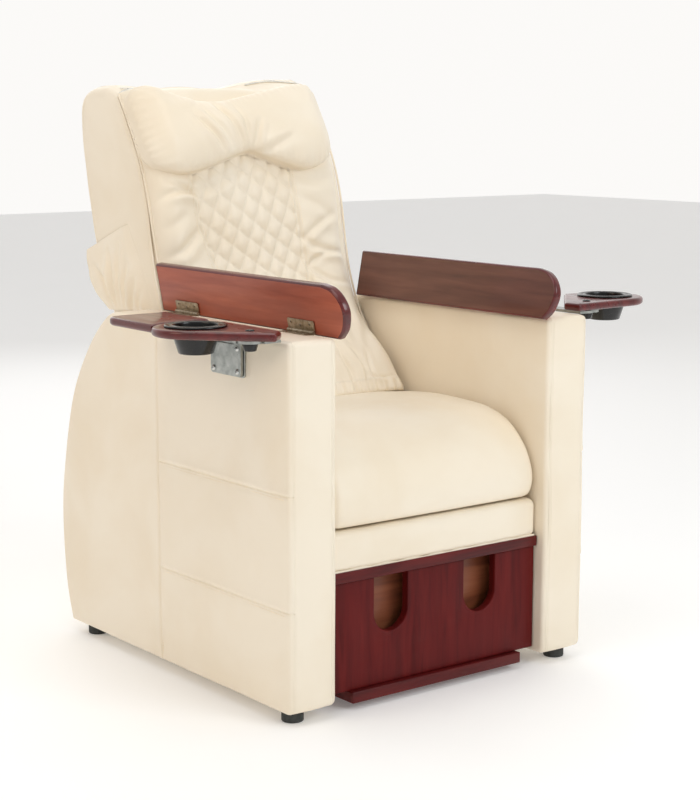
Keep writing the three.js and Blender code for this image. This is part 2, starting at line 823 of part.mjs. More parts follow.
function trayBracket() {
  const { front, rear, bottom, top, thick, pocket } = BRACKET;
  const x0 = ARM.outer + GAP;
  const x1 = x0 + thick;
  const middle = (x0 + x1) / 2;
  const body = box(x0, x1, front, rear, bottom, top);
  const slot = box(middle - pocket / 2, middle + pocket / 2, front + 11, rear - 11, bottom + 8, top + 1);
  const slit = box(middle, x1 + 1, front + 20, rear - 20, top - 15, top - 12);
  const screws = [front + 9, rear - 9].flatMap((y) =>
    [bottom + 10, top - 20].map((z) => dome("x", 0, 5.5, 3.5, x1, y, z)),
  );
  return join(cut(body, slot, slit), ...screws);
}

addPair("side_shelf", sideShelf(), cherry);
addPair("tray_support", traySupport(), steel);
addPair("tray_bracket", trayBracket(), steel);

// The left tray stands swung out from the arm; the right one lies back along it.
const trays = { left: side("left", new THREE.Group()), right: side("right", new THREE.Group()) };
trays.left.rotation.z = -THREE.MathUtils.degToRad(TRAY.swing);
for (const [name, group] of Object.entries(trays)) {
  const hand = (geometry) => (name === "left" ? geometry : mirrored(geometry));
  group.position.set((name === "left" ? 1 : -1) * TRAY.pivotX, TRAY.pivotY, 0);
  add(name + "_cup_tray", hand(cupTray()), cherry, group);
  add(name + "_cup_holder", hand(cupHolder()), blackPlastic, group);
  add(name + "_pivot_knob", hand(pivotKnob()), blackPlastic, group);
}

chair.position.set(-ORIGIN.x, -ORIGIN.y, 0);

const part = new THREE.Group();
part.add(chair);

export default part;
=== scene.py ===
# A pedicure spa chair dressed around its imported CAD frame: leather covers with seams and quilting,
# lacquered cherry boards and trays, hinges, brackets and the mechanism inside.
# Shapes are worked out in the chair's own millimetres: x = 0 is the middle of the seat, y = 0 is the
# plane of the arm fronts, z = 0 is the floor. row() turns them into the frame's metres.
import json
import math

import bmesh
import bpy
import numpy as np
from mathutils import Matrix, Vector
from mathutils.bvhtree import BVHTree


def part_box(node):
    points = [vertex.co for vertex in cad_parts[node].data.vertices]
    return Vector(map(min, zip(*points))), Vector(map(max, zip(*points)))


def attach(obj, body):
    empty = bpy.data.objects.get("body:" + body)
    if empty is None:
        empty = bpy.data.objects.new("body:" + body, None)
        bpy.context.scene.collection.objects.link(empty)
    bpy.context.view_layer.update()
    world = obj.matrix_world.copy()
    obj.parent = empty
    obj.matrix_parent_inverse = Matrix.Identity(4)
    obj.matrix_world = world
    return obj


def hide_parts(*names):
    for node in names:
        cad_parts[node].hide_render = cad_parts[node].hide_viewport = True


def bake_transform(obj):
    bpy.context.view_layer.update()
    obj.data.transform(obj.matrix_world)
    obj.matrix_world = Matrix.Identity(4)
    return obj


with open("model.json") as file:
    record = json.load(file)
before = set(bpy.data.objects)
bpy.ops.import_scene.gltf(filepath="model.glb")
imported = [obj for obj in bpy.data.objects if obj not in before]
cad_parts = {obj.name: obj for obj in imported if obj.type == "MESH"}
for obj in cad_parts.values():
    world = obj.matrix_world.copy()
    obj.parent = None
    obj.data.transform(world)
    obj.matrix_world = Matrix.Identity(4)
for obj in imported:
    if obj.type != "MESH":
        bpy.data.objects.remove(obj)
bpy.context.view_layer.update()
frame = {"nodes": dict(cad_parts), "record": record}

arm_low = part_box("left_arm_cover")[0]
seat_low, seat_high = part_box("seat_cushion")
# The frame's place of the chair's own origin, in millimetres.
ORIGIN = np.array([(seat_low.x + seat_high.x) * 500, arm_low.y * 1000, 0.0])

# ------------------------------------------------------------------ sizes, in chair millimetres
ARM = {"inner": 249, "outer": 352, "bottom": 22, "top": 678, "edge": 9}
# The seams down the arm's front, as x, and those on its side, as y and as z.
ARM_SEAM_X = (262, 341.5)
ARM_SEAM_Y = 420
ARM_SEAM_Z = (207, 412)
ARM_REAR = [(773, 22), (797, 100), (807, 226), (798, 333), (753, 495), (683, 604), (612, 668), (572, 678)]
FOOT = {"x": 318, "front": 40, "rear": 725}
# Half of the room between the arms, for what fits between them.
OPENING = 247.5
DRAWER = {"half": 246.5, "front": 25, "thick": 18, "bottom": 34, "top": 236, "slot": 107, "centre": 169}
SLOT_RADIUS = 39
PLINTH = {"half": 204, "front": 13, "back": 410, "bottom": 13, "top": 33.6}
TOP_RAIL = {"front": 18, "back": 100, "bottom": 237, "top": 257}
FRONT_RAIL = {"front": 22, "back": 98, "bottom": 258, "top": 329}
SEAT = {"half": 244, "bottom": 342.5}
BACK = {"shell": 242, "boxing_seam": 218, "thick": 38}
# The line where pad and shell meet, from the top down to the seat; the shell's front follows it upward.
MEETING = [(738, 1096), (703, 1044), (664, 978), (640, 920), (624, 860), (612, 790), (596, 724), (566, 656),
           (522, 594)]
PAD_BACK = MEETING + [(482, 545), (466, 503)]
SHELL_FRONT = [(476, 542)] + MEETING[::-1]
SHELL_REAR = [(722, 566), (786, 664), (822, 728), (848, 798), (869, 880), (889, 982), (895, 1050),
              (884, 1090), (850, 1108), (790, 1112)]
HINGE = {"x": 253, "z": 681.75, "leaf": 2.5, "knuckle": 4, "width": 78, "length": 21, "centres": (100, 470)}
BOARD = {"open": 79.5, "from": -7, "width": 88, "thick": 18, "rear": 568, "gap": 4.3}
TRAY = {"x": 397, "y": 48, "top": 698, "thick": 15, "lobe": 76, "cup": (38, 109), "hole": 43, "swing": 44,
        "diagonal": 47.2, "edge": 158}
SHELF = {"inner": 354, "outer": 484, "rear": 386, "clear": 196}
BRACKET = {"front": 124, "rear": 222, "bottom": 604, "top": 677, "thick": 12}
# The camera's place in metres, its turn in degrees and its lens in millimetres.
CAMERA = {"place": (-2.133, -2.876, 1.066), "turn": (80.84, -0.05, -37.58), "lens": 81.05}


# ------------------------------------------------------------------ curves and fields
def row(points):
    """Chair millimetres to frame metres."""
    return (np.asarray(points, float) + ORIGIN) / 1000


def spline(points, count):
    """A smooth curve through points, sampled evenly along its length."""
    p = np.asarray(points, float)
    last = len(p) - 1
    q = np.linspace(0, last, 40 * last + 1)
    i = np.minimum(q.astype(int), last - 1)
    w = (q - i)[:, None]
    a, b, c, d = p[np.maximum(i - 1, 0)], p[i], p[i + 1], p[np.minimum(i + 2, last)]
    v0, v1 = (c - a) / 2, (d - b) / 2
    fine = (2 * b - 2 * c + v0 + v1) * w**3 + (-3 * b + 3 * c - 2 * v0 - v1) * w**2 + v0 * w + b
    return resample(fine, count)


def resample(points, count):
    """The same path as count points, evenly spaced along it."""
    points = np.asarray(points, float)
    run = lengths(points)
    at = np.linspace(0, run[-1], count)
    return np.stack([np.interp(at, run, points[:, k]) for k in range(points.shape[1])], 1)


def lengths(points):
    """How far along a path each of its points lies."""
    steps = np.linalg.norm(np.diff(points, axis=0), axis=1)
    return np.concatenate([[0], np.cumsum(steps)])


def bell(distance, width):
    """A bell curve: 1 at distance 0, nearly 0 at twice the width."""
    return np.exp(-((distance / width) ** 2))


def smoothstep(value, low, high):
    """A soft step from 0 at low to 1 at high."""
    t = np.clip((value - low) / (high - low), 0, 1)
    return t * t * (3 - 2 * t)


def ease(distance, radius):
    """A quarter-round rise from 0 at an edge to 1 at radius from it."""
    t = 1 - np.clip(distance / radius, 0, 1)
    return np.sqrt(1 - t * t)


def ripple(a, b, seed, length):
    """A slow, uneven wave over two coordinates, between about -1 and 1."""
    draw = np.random.default_rng(seed)
    total = 0
    for _ in range(5):
        turn = draw.uniform(0, math.tau)
        k = math.tau / length * draw.uniform(0.6, 1.6)
        total = total + np.sin(k * (a * math.cos(turn) + b * math.sin(turn)) + draw.uniform(0, math.tau))
    return total / 3


def distance_to(path, a, b):
    """The distance from points (a, b) to a path of straight steps."""
    path = np.asarray(path, float)
    p = np.stack([np.ravel(a), np.ravel(b)], 1)
    best = np.full(len(p), 1e9)
    for start, end in zip(path[:-1], path[1:]):
        along = end - start
        size = max(float(along @ along), 1e-9)
        t = np.clip(((p - start) @ along) / size, 0, 1)
        best = np.minimum(best, np.linalg.norm(p - start - t[:, None] * along, axis=1))
    return best.reshape(np.shape(a))


def stations(low, high, refined=(), step=13, edge=(0, 0.7, 1.7, 3.2, 5, 7.2, 10, 14, 19)):
    """Positions from low to high, close together at both ends and round each refined place."""
    near = (-14, -9, -6, -4, -2.6, -1.6, -0.8, 0, 0.8, 1.6, 2.6, 3.8, 5, 6, 7, 8.2, 10, 14)
    fixed = [low + e for e in edge] + [high - e for e in edge]
    for place in refined:
        fixed += [place + n for n in near]
    fixed = sorted(set(np.round(fixed, 3)))
    full = []
    for a, b in zip(fixed[:-1], fixed[1:]):
        count = max(1, math.ceil((b - a) / step))
        full += list(np.linspace(a, b, count, endpoint=False))
    return np.array(full + [high])


# ------------------------------------------------------------------ mesh helpers
def grid_faces(rows, columns, start=0, wrap=False, flip=False):
    """Quads of a grid whose points are stored row by row; wrap joins the last column to the first."""
    r = np.arange(rows - 1)[:, None]
    c = np.arange(columns if wrap else columns - 1)[None, :]
    n = (c + 1) % columns
    quads = np.stack([r * columns + c, r * columns + n, (r + 1) * columns + n, (r + 1) * columns + c], -1)
    quads = quads.reshape(-1, 4) + start
    return (quads[:, ::-1] if flip else quads).tolist()


def rim(rows, columns):
    """The points round the edge of a grid that is stored row by row."""
    index = np.arange(rows * columns).reshape(rows, columns)
    return np.concatenate([index[0], index[1:, -1], index[-1, -2::-1], index[-2:0:-1, 0]])


class Shape:
    """Points in chair millimetres and the faces on them, kept until they become a mesh."""

    def __init__(self, points=(), faces=(), flat=()):
        self.points = np.asarray(points, float).reshape(-1, 3)
        self.faces = [list(f) for f in faces]
        self.flat = set(flat)

    def mirrored(self):
        """The same shape on the other side of the chair."""
        points = self.points * [-1, 1, 1]
        return Shape(points, [f[::-1] for f in self.faces], self.flat)

    def moved(self, x=0, y=0, z=0):
        return Shape(self.points + [x, y, z], self.faces, self.flat)


def gather(shapes):
    """Several shapes as one."""
    faces, flat, base = [], set(), 0
    for s in shapes:
        flat |= {i + len(faces) for i in s.flat}
        faces += [[i + base for i in f] for f in s.faces]
        base += len(s.points)
    return Shape(np.concatenate([s.points for s in shapes]), faces, flat)


def skin(front, back, grid, flip=False):
    """A closed skin: a front and a back on the same grid of (rows, columns), joined round the edge."""
    rows, columns = grid
    count = rows * columns
    loop = rim(rows, columns)
    after = np.roll(loop, -1)
    edge = [loop, after, after + count, loop + count] if flip else [loop, loop + count, after + count, after]
    faces = grid_faces(rows, columns, flip=flip) + grid_faces(rows, columns, start=count, flip=not flip)
    faces += np.stack(edge, 1).tolist()
    return Shape(np.concatenate([front.reshape(-1, 3), back.reshape(-1, 3)]), faces)


def mesh_object(name, shape, material):
    """An object with a shape's mesh, smooth except for its flat faces."""
    mesh = bpy.data.meshes.new(name)
    mesh.from_pydata(row(shape.points).tolist(), [], shape.faces)
    smooth = np.ones(len(mesh.polygons), bool)
    smooth[sorted(shape.flat)] = False
    mesh.polygons.foreach_set("use_smooth", smooth)
    welded = bmesh.new()
    welded.from_mesh(mesh)
    bmesh.ops.remove_doubles(welded, verts=welded.verts, dist=2e-7)
    welded.to_mesh(mesh)
    welded.free()
    mesh.materials.append(material)
    mesh.update()
    obj = bpy.data.objects.new(name, mesh)
    bpy.context.scene.collection.objects.link(obj)
    return obj


def piece(name, shape, material, body, nodes=(), crease=None):
    """Makes a shape into an object that rides on a body and stands for CAD nodes."""
    obj = mesh_object(name, shape, material)
    if crease is not None:
        obj.data.set_sharp_from_angle(angle=math.radians(crease))
    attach(obj, body)
    if nodes:
        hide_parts(*nodes)
    return obj


def pair(name, shape, material, body, nodes=(), crease=None):
    """A piece on the sitter's left and its mirror image on the right; {side} is filled in."""
    made = []
    for side, one in (("left", shape), ("right", shape.mirrored())):
        named = [n.format(side=side) for n in nodes]
        made.append(piece(f"{side}_{name}", one, material, body.format(side=side), named, crease))
    return made


def lathe(profile, sides=64, centre=(0, 0, 0)):
    """A profile of [radius, height] turned about Z; it starts and ends on the axis."""
    turn = np.linspace(0, math.tau, sides, endpoint=False)
    rings = [np.stack([r * np.cos(turn), r * np.sin(turn), np.full(sides, z)], 1) for r, z in profile]
    return Shape(np.concatenate(rings) + centre, grid_faces(len(profile), sides, wrap=True))


def frames_along(path):
    """Tangents and two square directions along a path, kept from twisting."""
    path = np.asarray(path, float)
    tangent = np.gradient(path, axis=0)
    tangent /= np.linalg.norm(tangent, axis=1)[:, None]
    side = np.cross(tangent, np.where(np.abs(tangent[:, 2:]) > 0.9, [[1, 0, 0]], [[0, 0, 1]]))
    for i in range(len(side)):
        if i:
            side[i] = side[i - 1] - tangent[i] * (side[i - 1] @ tangent[i])
        side[i] /= np.linalg.norm(side[i])
    return tangent, side, np.cross(tangent, side)


def tube(path, radius, sides=10):
    """A round cord along a path, with domed ends."""
    path = np.asarray(path, float)
    tangent, side, up = frames_along(path)
    turn = np.linspace(0, math.tau, sides, endpoint=False)
    rings = []
    for end in (0, 1):
        for angle in (80, 55, 28) if end == 0 else (28, 55, 80):
            i = -1 if end else 0
            reach = radius * math.sin(math.radians(angle)) * (1 if end else -1)
            size = radius * math.cos(math.radians(angle))
            ring = path[i] + tangent[i] * reach
            rings.append(ring + size * (np.outer(np.cos(turn), side[i]) + np.outer(np.sin(turn), up[i])))
        if end == 0:
            for p, s, u in zip(path, side, up):
                rings.append(p + radius * (np.outer(np.cos(turn), s) + np.outer(np.sin(turn), u)))
    faces = grid_faces(len(rings), sides, wrap=True)
    last = len(rings) * sides
    faces += [list(range(sides))[::-1], list(range(last - sides, last))]
    return Shape(np.concatenate(rings), faces)


def stitches(path, normal, pitch=5.2, length=3.6, radius=0.55, lift=0.2):
    """A row of thread stitches lying on a surface along a path."""
    path = np.asarray(path, float)
    normal = np.broadcast_to(np.asarray(normal, float), path.shape)
    run = lengths(path)
    count = int(run[-1] // pitch)
    made = []
    for i in range(count):
        centre = (i + 0.5) * pitch
        at = centre + np.array([-0.5, 0, 0.5]) * length
        spots = np.stack([np.interp(at, run, path[:, k]) for k in range(3)], 1)
        up = np.array([np.interp(centre, run, normal[:, k]) for k in range(3)])
        spots += np.outer([-0.5, 1, -0.5], up) * lift
        along = spots[2] - spots[0]
        along /= np.linalg.norm(along)
        across = np.cross(along, up)
        across /= np.linalg.norm(across)
        ring = [across, -up, -across, up]
        size = (0.35, 1, 0.35)
        points = [spots[k] + radius * size[k] * d for k in range(3) for d in ring]
        made.append(Shape(points, grid_faces(3, 4, wrap=True) + [[3, 2, 1, 0], [8, 9, 10, 11]]))
    return gather(made)


def inset(outline, distance):
    """A closed outline moved inward, its corners mitred; it runs anticlockwise."""
    before = outline - np.roll(outline, 1, 0)
    after = np.roll(outline, -1, 0) - outline
    before /= np.linalg.norm(before, axis=1)[:, None]
    after /= np.linalg.norm(after, axis=1)[:, None]
    n1 = np.stack([-before[:, 1], before[:, 0]], 1)
    n2 = np.stack([-after[:, 1], after[:, 0]], 1)
    mitre = (n1 + n2) / np.maximum(1 + (n1 * n2).sum(1), 0.35)[:, None]
    return outline + mitre * distance


def rounded_plate(outline, low, high, radius, holes=(), steps=5):
    """A flat plate between two levels whose edges are rounded; outline and holes are (a, b) points."""
    turn = np.radians(np.linspace(0, 90, steps))
    levels = [(radius * (1 - math.sin(t)), low + radius * (1 - math.cos(t))) for t in turn]
    levels += [(radius * (1 - math.sin(t)), high - radius * (1 - math.cos(t))) for t in turn[::-1]]
    loops = [np.asarray(outline, float)] + [np.asarray(h, float)[::-1] for h in holes]
    points, faces, rims = [], [], []
    base = 0
    for loop in loops:
        count = len(loop)
        for inward, z in levels:
            points += [(a, b, z) for a, b in inset(loop, inward)]
        faces += grid_faces(len(levels), count, start=base, wrap=True)
        rims.append((base, base + (len(levels) - 1) * count, count))
        base += len(levels) * count
    flat = []
    for which in (0, 1):
        rim = [list(range(r[which], r[which] + r[2])) for r in rims]
        cap = bridge(np.array(points), rim) if len(rim) > 1 else [rim[0]]
        cap = [f[::-1] for f in cap] if which == 0 else cap
        flat += range(len(faces), len(faces) + len(cap))
        faces += cap
    return Shape(points, faces, flat)


def bridge(points, rims):
    """Faces between an outer rim and one hole, going round them both by angle from the hole's middle."""
    outer, hole = rims[0], rims[1][::-1]
    p = points[:, :2] - points[hole, :2].mean(0)
    turn = np.arctan2(p[:, 1], p[:, 0])
    start = int(np.argmin(np.abs(np.angle(np.exp(1j * (turn[hole] - turn[outer[0]]))))))
    hole = hole[start:] + hole[:start]
    outer, hole = outer + outer[:1], hole + hole[:1]
    outer_turn, hole_turn = np.unwrap(turn[outer]), np.unwrap(turn[hole])
    hole_turn += math.tau * round((outer_turn[0] - hole_turn[0]) / math.tau)
    i = j = 0
    faces = []
    while i < len(outer) - 1 or j < len(hole) - 1:
        if j == len(hole) - 1 or (i < len(outer) - 1 and outer_turn[i + 1] <= hole_turn[j + 1]):
            faces.append([outer[i], outer[i + 1], hole[j]])
            i += 1
        else:
            faces.append([outer[i], hole[j + 1], hole[j]])
            j += 1
    return faces


def arc(centre, radius, start, end, count):
    """Points round part of a circle, from start to end in degrees."""
    turn = np.radians(np.linspace(start, end, count))
    return [(centre[0] + radius * math.cos(t), centre[1] + radius * math.sin(t)) for t in turn]


def rectangle(a0, a1, b0, b1, corner=0, count=5):
    """A rectangle as an anticlockwise outline, its corners rounded if corner is given."""
    if not corner:
        return [(a0, b0), (a1, b0), (a1, b1), (a0, b1)]
    places = [(a1 - corner, b0 + corner, -90), (a1 - corner, b1 - corner, 0),
              (a0 + corner, b1 - corner, 90), (a0 + corner, b0 + corner, 180)]
    return [p for a, b, start in places for p in arc((a, b), corner, start, start + 90, count)]


def standing(shape, axes):
    """Turns a plate's (a, b, level) into x, y, z by naming which of them each axis takes."""
    order = ["abw".index(a) for a in axes]
    odd = np.linalg.det(np.eye(3)[order]) < 0
    faces = [f[::-1] for f in shape.faces] if odd else shape.faces
    return Shape(shape.points[:, order], faces, shape.flat)


def box_shape(x0, x1, y0, y1, z0, z1, radius=1.2):
    """A block whose twelve edges are rounded."""
    return rounded_plate(rectangle(x0, x1, y0, y1, radius + 0.15, 4), z0, z1, radius, steps=4)


# ------------------------------------------------------------------ finishes
def linear(*rgb):
    """Screen colour, 0 to 255, to the linear values that a shader takes."""
    return tuple(((c / 255 + 0.055) / 1.055) ** 2.4 if c > 10 else c / 255 / 12.92 for c in rgb)


class Finish:
    """A Principled material with helpers for the few node patterns that the chair's finishes share."""

    def __init__(self, name, base, roughness, **sockets):
        self.material = bpy.data.materials.new(name)
        self.material.use_nodes = True
        self.tree = self.material.node_tree
        self.shader = self.tree.nodes["Principled BSDF"]
        self.shader.inputs["Base Color"].default_value = (*base, 1)
        self.shader.inputs["Roughness"].default_value = roughness
        for socket, value in sockets.items():
            self.shader.inputs[socket.replace("_", " ")].default_value = value
        self.normal = None

    def node(self, kind, settings=(), **inputs):
        """A new node, with its settings and with values or links on its inputs."""
        made = self.tree.nodes.new(kind)
        for key, value in dict(settings).items():
            setattr(made, key, value)
        for key, value in inputs.items():
            socket = made.inputs[key.replace("_", " ")]
            if hasattr(value, "is_output"):
                self.tree.links.new(value, socket)
            else:
                socket.default_value = value
        return made

    def place(self, stretch=(1, 1, 1)):
        """The object's own coordinates, stretched along each axis."""
        where = self.node("ShaderNodeTexCoord").outputs["Object"]
        return self.node("ShaderNodeMapping", Vector=where, Scale=stretch).outputs[0]

    def noise(self, scale, detail=3, stretch=(1, 1, 1), warp=0.0, rough=0.5):
        made = self.node("ShaderNodeTexNoise", Vector=self.place(stretch), Scale=scale, Detail=detail,
                         Distortion=warp, Roughness=rough)
        return made.outputs[0]

    def cells(self, scale):
        made = self.node("ShaderNodeTexVoronoi", {"feature": "F1"}, Vector=self.place(), Scale=scale)
        return made.outputs["Distance"]

    def ramp(self, value, *stops):
        """A colour for each value between (position, tone) stops."""
        made = self.node("ShaderNodeValToRGB", Fac=value)
        marks = made.color_ramp.elements
        while len(marks) < len(stops):
            marks.new(0.5)
        for mark, (position, tone) in zip(marks, stops):
            mark.position = position
            mark.color = (*tone, 1) if len(tone) == 3 else (tone[0],) * 3 + (1,)
        return made.outputs["Color"]

    def colour(self, value):
        self.tree.links.new(value, self.shader.inputs["Base Color"])

    def roughness(self, value, low, high):
        """Spreads a noise value over a range of roughness."""
        made = self.node("ShaderNodeMapRange", Value=value, From_Min=0.3, From_Max=0.7, To_Min=low,
                         To_Max=high)
        self.tree.links.new(made.outputs[0], self.shader.inputs["Roughness"])

    def bump(self, height, distance, strength=1.0):
        """Adds a fine relief on top of those added before."""
        made = self.node("ShaderNodeBump", Height=height, Distance=distance, Strength=strength)
        if self.normal:
            self.tree.links.new(self.normal, made.inputs["Normal"])
        self.normal = made.outputs[0]
        self.tree.links.new(self.normal, self.shader.inputs["Normal"])


def leather(name, light, dark):
    """Soft coated leather: a fine pebbled grain, faint creasing and slow changes of tone."""
    made = Finish(name, light, 0.42, Specular_IOR_Level=0.42)
    made.colour(made.ramp(made.noise(4.5, 4, warp=0.4), (0.32, dark), (0.62, light)))
    made.roughness(made.noise(38, 3), 0.36, 0.5)
    made.bump(made.noise(95, 4, warp=0.6), 0.0004, 0.3)
    made.bump(made.cells(760), 0.00022, 0.6)
    return made.material


def lacquered(name, along, tones, gloss, coat, shine=0.5):
    """Stained wood under lacquer in three tones, its grain drawn out along one of x, y, z."""
    dark, mid, light = (linear(*tone) for tone in tones)
    stretch = tuple(0.09 if axis == along else 1.0 for axis in "xyz")
    made = Finish(name, mid, gloss, Coat_Weight=coat, Coat_Roughness=0.06, Coat_IOR=1.5,
                  Specular_IOR_Level=shine)
    figure = made.noise(52, 5, stretch, warp=0.5, rough=0.55)
    made.colour(made.ramp(figure, (0.3, dark), (0.5, mid), (0.72, light)))
    pores = made.noise(420, 2, tuple(s * (0.5 if s < 1 else 1) for s in stretch))
    made.roughness(made.noise(60, 3, stretch), gloss, gloss + 0.14)
    made.bump(pores, 0.00008, 0.25)
    return made.material


def sheet_wood(name):
    """Bare plywood: pale, open grain, matt."""
    made = Finish(name, linear(176, 138, 92), 0.7)
    figure = made.noise(26, 6, (0.1, 1, 1), warp=1.4, rough=0.65)
    tones = [(0.3, linear(140, 103, 62)), (0.5, linear(178, 140, 94)), (0.7, linear(202, 168, 122))]
    made.colour(made.ramp(figure, *tones))
    made.bump(made.noise(380, 2, (0.1, 1, 1)), 0.0004, 0.5)
    return made.material


def metal(name, base, worn, roughness, brushed=(1, 1, 1), scale=60):
    """Metal in two tones, finely scratched; brushed draws the scratches out along an axis."""
    made = Finish(name, base, roughness, Metallic=1.0)
    made.colour(made.ramp(made.noise(scale, 5, warp=0.5), (0.35, base), (0.68, worn)))
    made.roughness(made.noise(900, 3, brushed), roughness - 0.08, roughness + 0.12)
    made.bump(made.noise(1500, 2, brushed), 0.00006, 0.4)
    return made.material


def moulded(name, base, roughness, texture=0.0):
    """Plastic, rubber or thread in one tone, slightly uneven."""
    made = Finish(name, base, roughness, Specular_IOR_Level=0.5)
    lighter = tuple(c * 1.5 + 0.002 for c in base)
    made.colour(made.ramp(made.noise(30, 3), (0.35, base), (0.75, lighter)))
    made.roughness(made.noise(150, 3), roughness * 0.8, roughness * 1.3)
    made.bump(made.noise(1300, 2), 0.00001 + texture * 0.0003, 0.2)
    return made.material


CREAM = leather("cream_leather", linear(246, 235, 216), linear(241, 227, 204))
CHERRY_X = lacquered("cherry_across", "x", [(66, 8, 9), (88, 16, 16), (104, 26, 23)], 0.34, 0.08, 0.25)
CHERRY_Y = lacquered("cherry_along", "y", [(66, 10, 11), (90, 18, 18), (108, 28, 26)], 0.24, 0.35)
# The boards' outward faces: a lighter orange tone that is painted light from the side.
CHERRY_UNDER_PAINTED_LIGHT = lacquered("cherry_underside_painted_light", "y", [(150, 72, 52), (166, 84, 61), (182, 98, 72)], 0.36, 0.12)
CHERRY_TOP = lacquered("cherry_board_top", "y", [(84, 44, 34), (98, 55, 43), (112, 66, 52)], 0.3, 0.3)
CHERRY_FRONT = lacquered("cherry_upright", "z", [(72, 8, 9), (90, 14, 14), (104, 22, 20)], 0.4, 0.04, 0.16)
CHERRY_IN = lacquered("stained_drawer_board", "x", [(110, 56, 34), (134, 72, 44), (150, 88, 56)], 0.38, 0.1)
PLY = sheet_wood("bare_plywood")
STEEL = metal("satin_steel", linear(152, 156, 152), linear(186, 188, 184), 0.34, (1, 0.08, 1))
BRIGHT = metal("bright_screw", linear(188, 190, 188), linear(215, 216, 213), 0.22)
BRONZE = metal("aged_bronze", linear(142, 126, 104), linear(182, 168, 146), 0.34, scale=130)
BLACK = moulded("black_plastic", linear(10, 10, 10), 0.22)
# Matt black for the frame's real black parts, and also for the crosses in screw heads, where it is painted
# shade in the recesses.
MATT_BLACK_AND_RECESS_SHADE = moulded("black_cast_and_recess_shade", linear(34, 34, 34), 0.5, 1)
RUBBER = moulded("dark_rubber", linear(46, 48, 47), 0.7, 1)
THREAD = moulded("cream_thread", linear(226, 208, 176), 0.75, 1)
TAPE = moulded("zip_tape", linear(226, 222, 212), 0.8, 1)
ZIP = moulded("zip_teeth", linear(206, 206, 203), 0.3)

KINDS = {"cream_leather": CREAM, "cherry_wood": CHERRY_X, "plywood": PLY, "satin_steel": STEEL,
         "hinge_bronze": BRONZE, "black_plastic": MATT_BLACK_AND_RECESS_SHADE, "black_rubber": RUBBER}
for part in frame["record"]["subparts"]:
    for material_slot in frame["nodes"][part["node"]].material_slots:
        material_slot.material = KINDS[part["material_slot"]]


# ------------------------------------------------------------------ upholstered slabs: arms and back shell
def slab(front, rear, inner, outer, radius, places, face, band, band_places):
    """A padded panel box standing in the (y, z) plane, between x = inner and x = outer.

    front and rear are its edges from the bottom up, a row of the mesh running between each two
    points. places gives how far along a row its columns lie. face and band say how far the leather
    stands out on the broad faces and on the narrow edge.
    """
    rows = []
    for f, r in zip(front, rear):
        along = (r - f) / np.linalg.norm(r - f)
        rows.append(f + places(f, r)[:, None] * along)
    grid = np.array(rows)
    count, columns = grid.shape[:2]
    loop = rim(count, columns)
    flat = grid.reshape(-1, 2)
    outline = flat[loop]
    edge = distance_to(np.vstack([outline, outline[:1]]), flat[:, 0], flat[:, 1])
    round_off = radius * (1 - ease(edge, radius))
    y, z = flat.T
    outer_face = np.stack([outer - round_off + face(y, z, edge, 1), y, z], 1)
    inner_face = np.stack([inner + round_off - face(y, z, edge, -1), y, z], 1)
    ahead, behind = np.roll(outline, -1, 0), np.roll(outline, 1, 0)
    along = ahead - behind
    along /= np.maximum(np.linalg.norm(along, axis=1), 1e-6)[:, None]
    outward = np.stack([along[:, 1], -along[:, 0]], 1)
    points = [outer_face, inner_face]
    rings = [loop]
    base = 2 * len(flat)
    for x in sorted(band_places, reverse=True):
        if inner + radius < x < outer - radius:
            out = outline + outward * band(x, outline, outward)[:, None]
            points.append(np.column_stack([np.full(len(out), x), out]))
            rings.append(np.arange(base, base + len(out)))
            base += len(out)
    rings.append(loop + len(flat))
    faces = grid_faces(count, columns) + grid_faces(count, columns, start=len(flat), flip=True)
    for a, b in zip(rings[:-1], rings[1:]):
        a2, b2 = np.roll(a, -1), np.roll(b, -1)
        faces += np.stack([a, b, b2, a2], 1).tolist()
    return Shape(np.concatenate(points), faces)


def arm_edges():
    """The front and rear edges of an arm at each level, its front corners rounded."""
    z = stations(ARM["bottom"], ARM["top"], ARM_SEAM_Z)
    low, high = ARM["bottom"], ARM["top"]
    foot, brow = 15, 9
    near_foot = np.clip((z - low) / foot, 0, 1)
    near_brow = np.clip((high - z) / brow, 0, 1)
    y = foot * (1 - np.sqrt(1 - (1 - near_foot) ** 2)) + brow * (1 - np.sqrt(1 - (1 - near_brow) ** 2))
    y += 0.8 * np.sin(z / 57) - 0.6
    curve = spline(ARM_REAR, 300)
    rear = np.interp(z, curve[:, 1], curve[:, 0])
    return np.stack([y, z], 1), np.stack([rear, z], 1)


def arm_places(front, rear):
    """Column places along one level of an arm, crowded at the seam and both edges."""
    reference = 780
    marks = [0, 20, ARM_SEAM_Y - 16, ARM_SEAM_Y + 16, reference - 20, reference]
    length = rear[0] - front[0]
    seam = ARM_SEAM_Y - front[0]
    return np.interp(stations(0, reference, (ARM_SEAM_Y,)), marks,
                     [0, 20, seam - 16, seam + 16, length - 20, length])


def arm_face(y, z, edge, side):
    """How far the arm's leather stands out: panels puffed between seams, and light pulls at the stitching."""
    padding, sink = 1.8, 0.9
    height = padding * smoothstep(edge, 0, 60) + 0.35 * ripple(y, z, 11, 170)
    if side < 0:
        return height - sink
    across = y - ARM_SEAM_Y
    height += 1.1 * bell(np.abs(across) - 8, 6) - 2.4 * bell(across, 1.7) - 0.8 * bell(across + 6, 1.3)
    ahead = 1 - smoothstep(across, -6, 0)
    for n, level in enumerate(ARM_SEAM_Z):
        above = z - level
        pull = 1 + 0.7 * ripple(y, z, 21 + n, 60)
        seam = 2.3 * bell(above, 1.8) + 0.8 * bell(above + 6, 1.3)
        height += ahead * (1.2 * bell(above - 7, 6) * pull - seam)
        height += ahead * 1.3 * bell(above + 22, 16) * ripple(y, z * 0.4, 31 + n, 90)
    return height


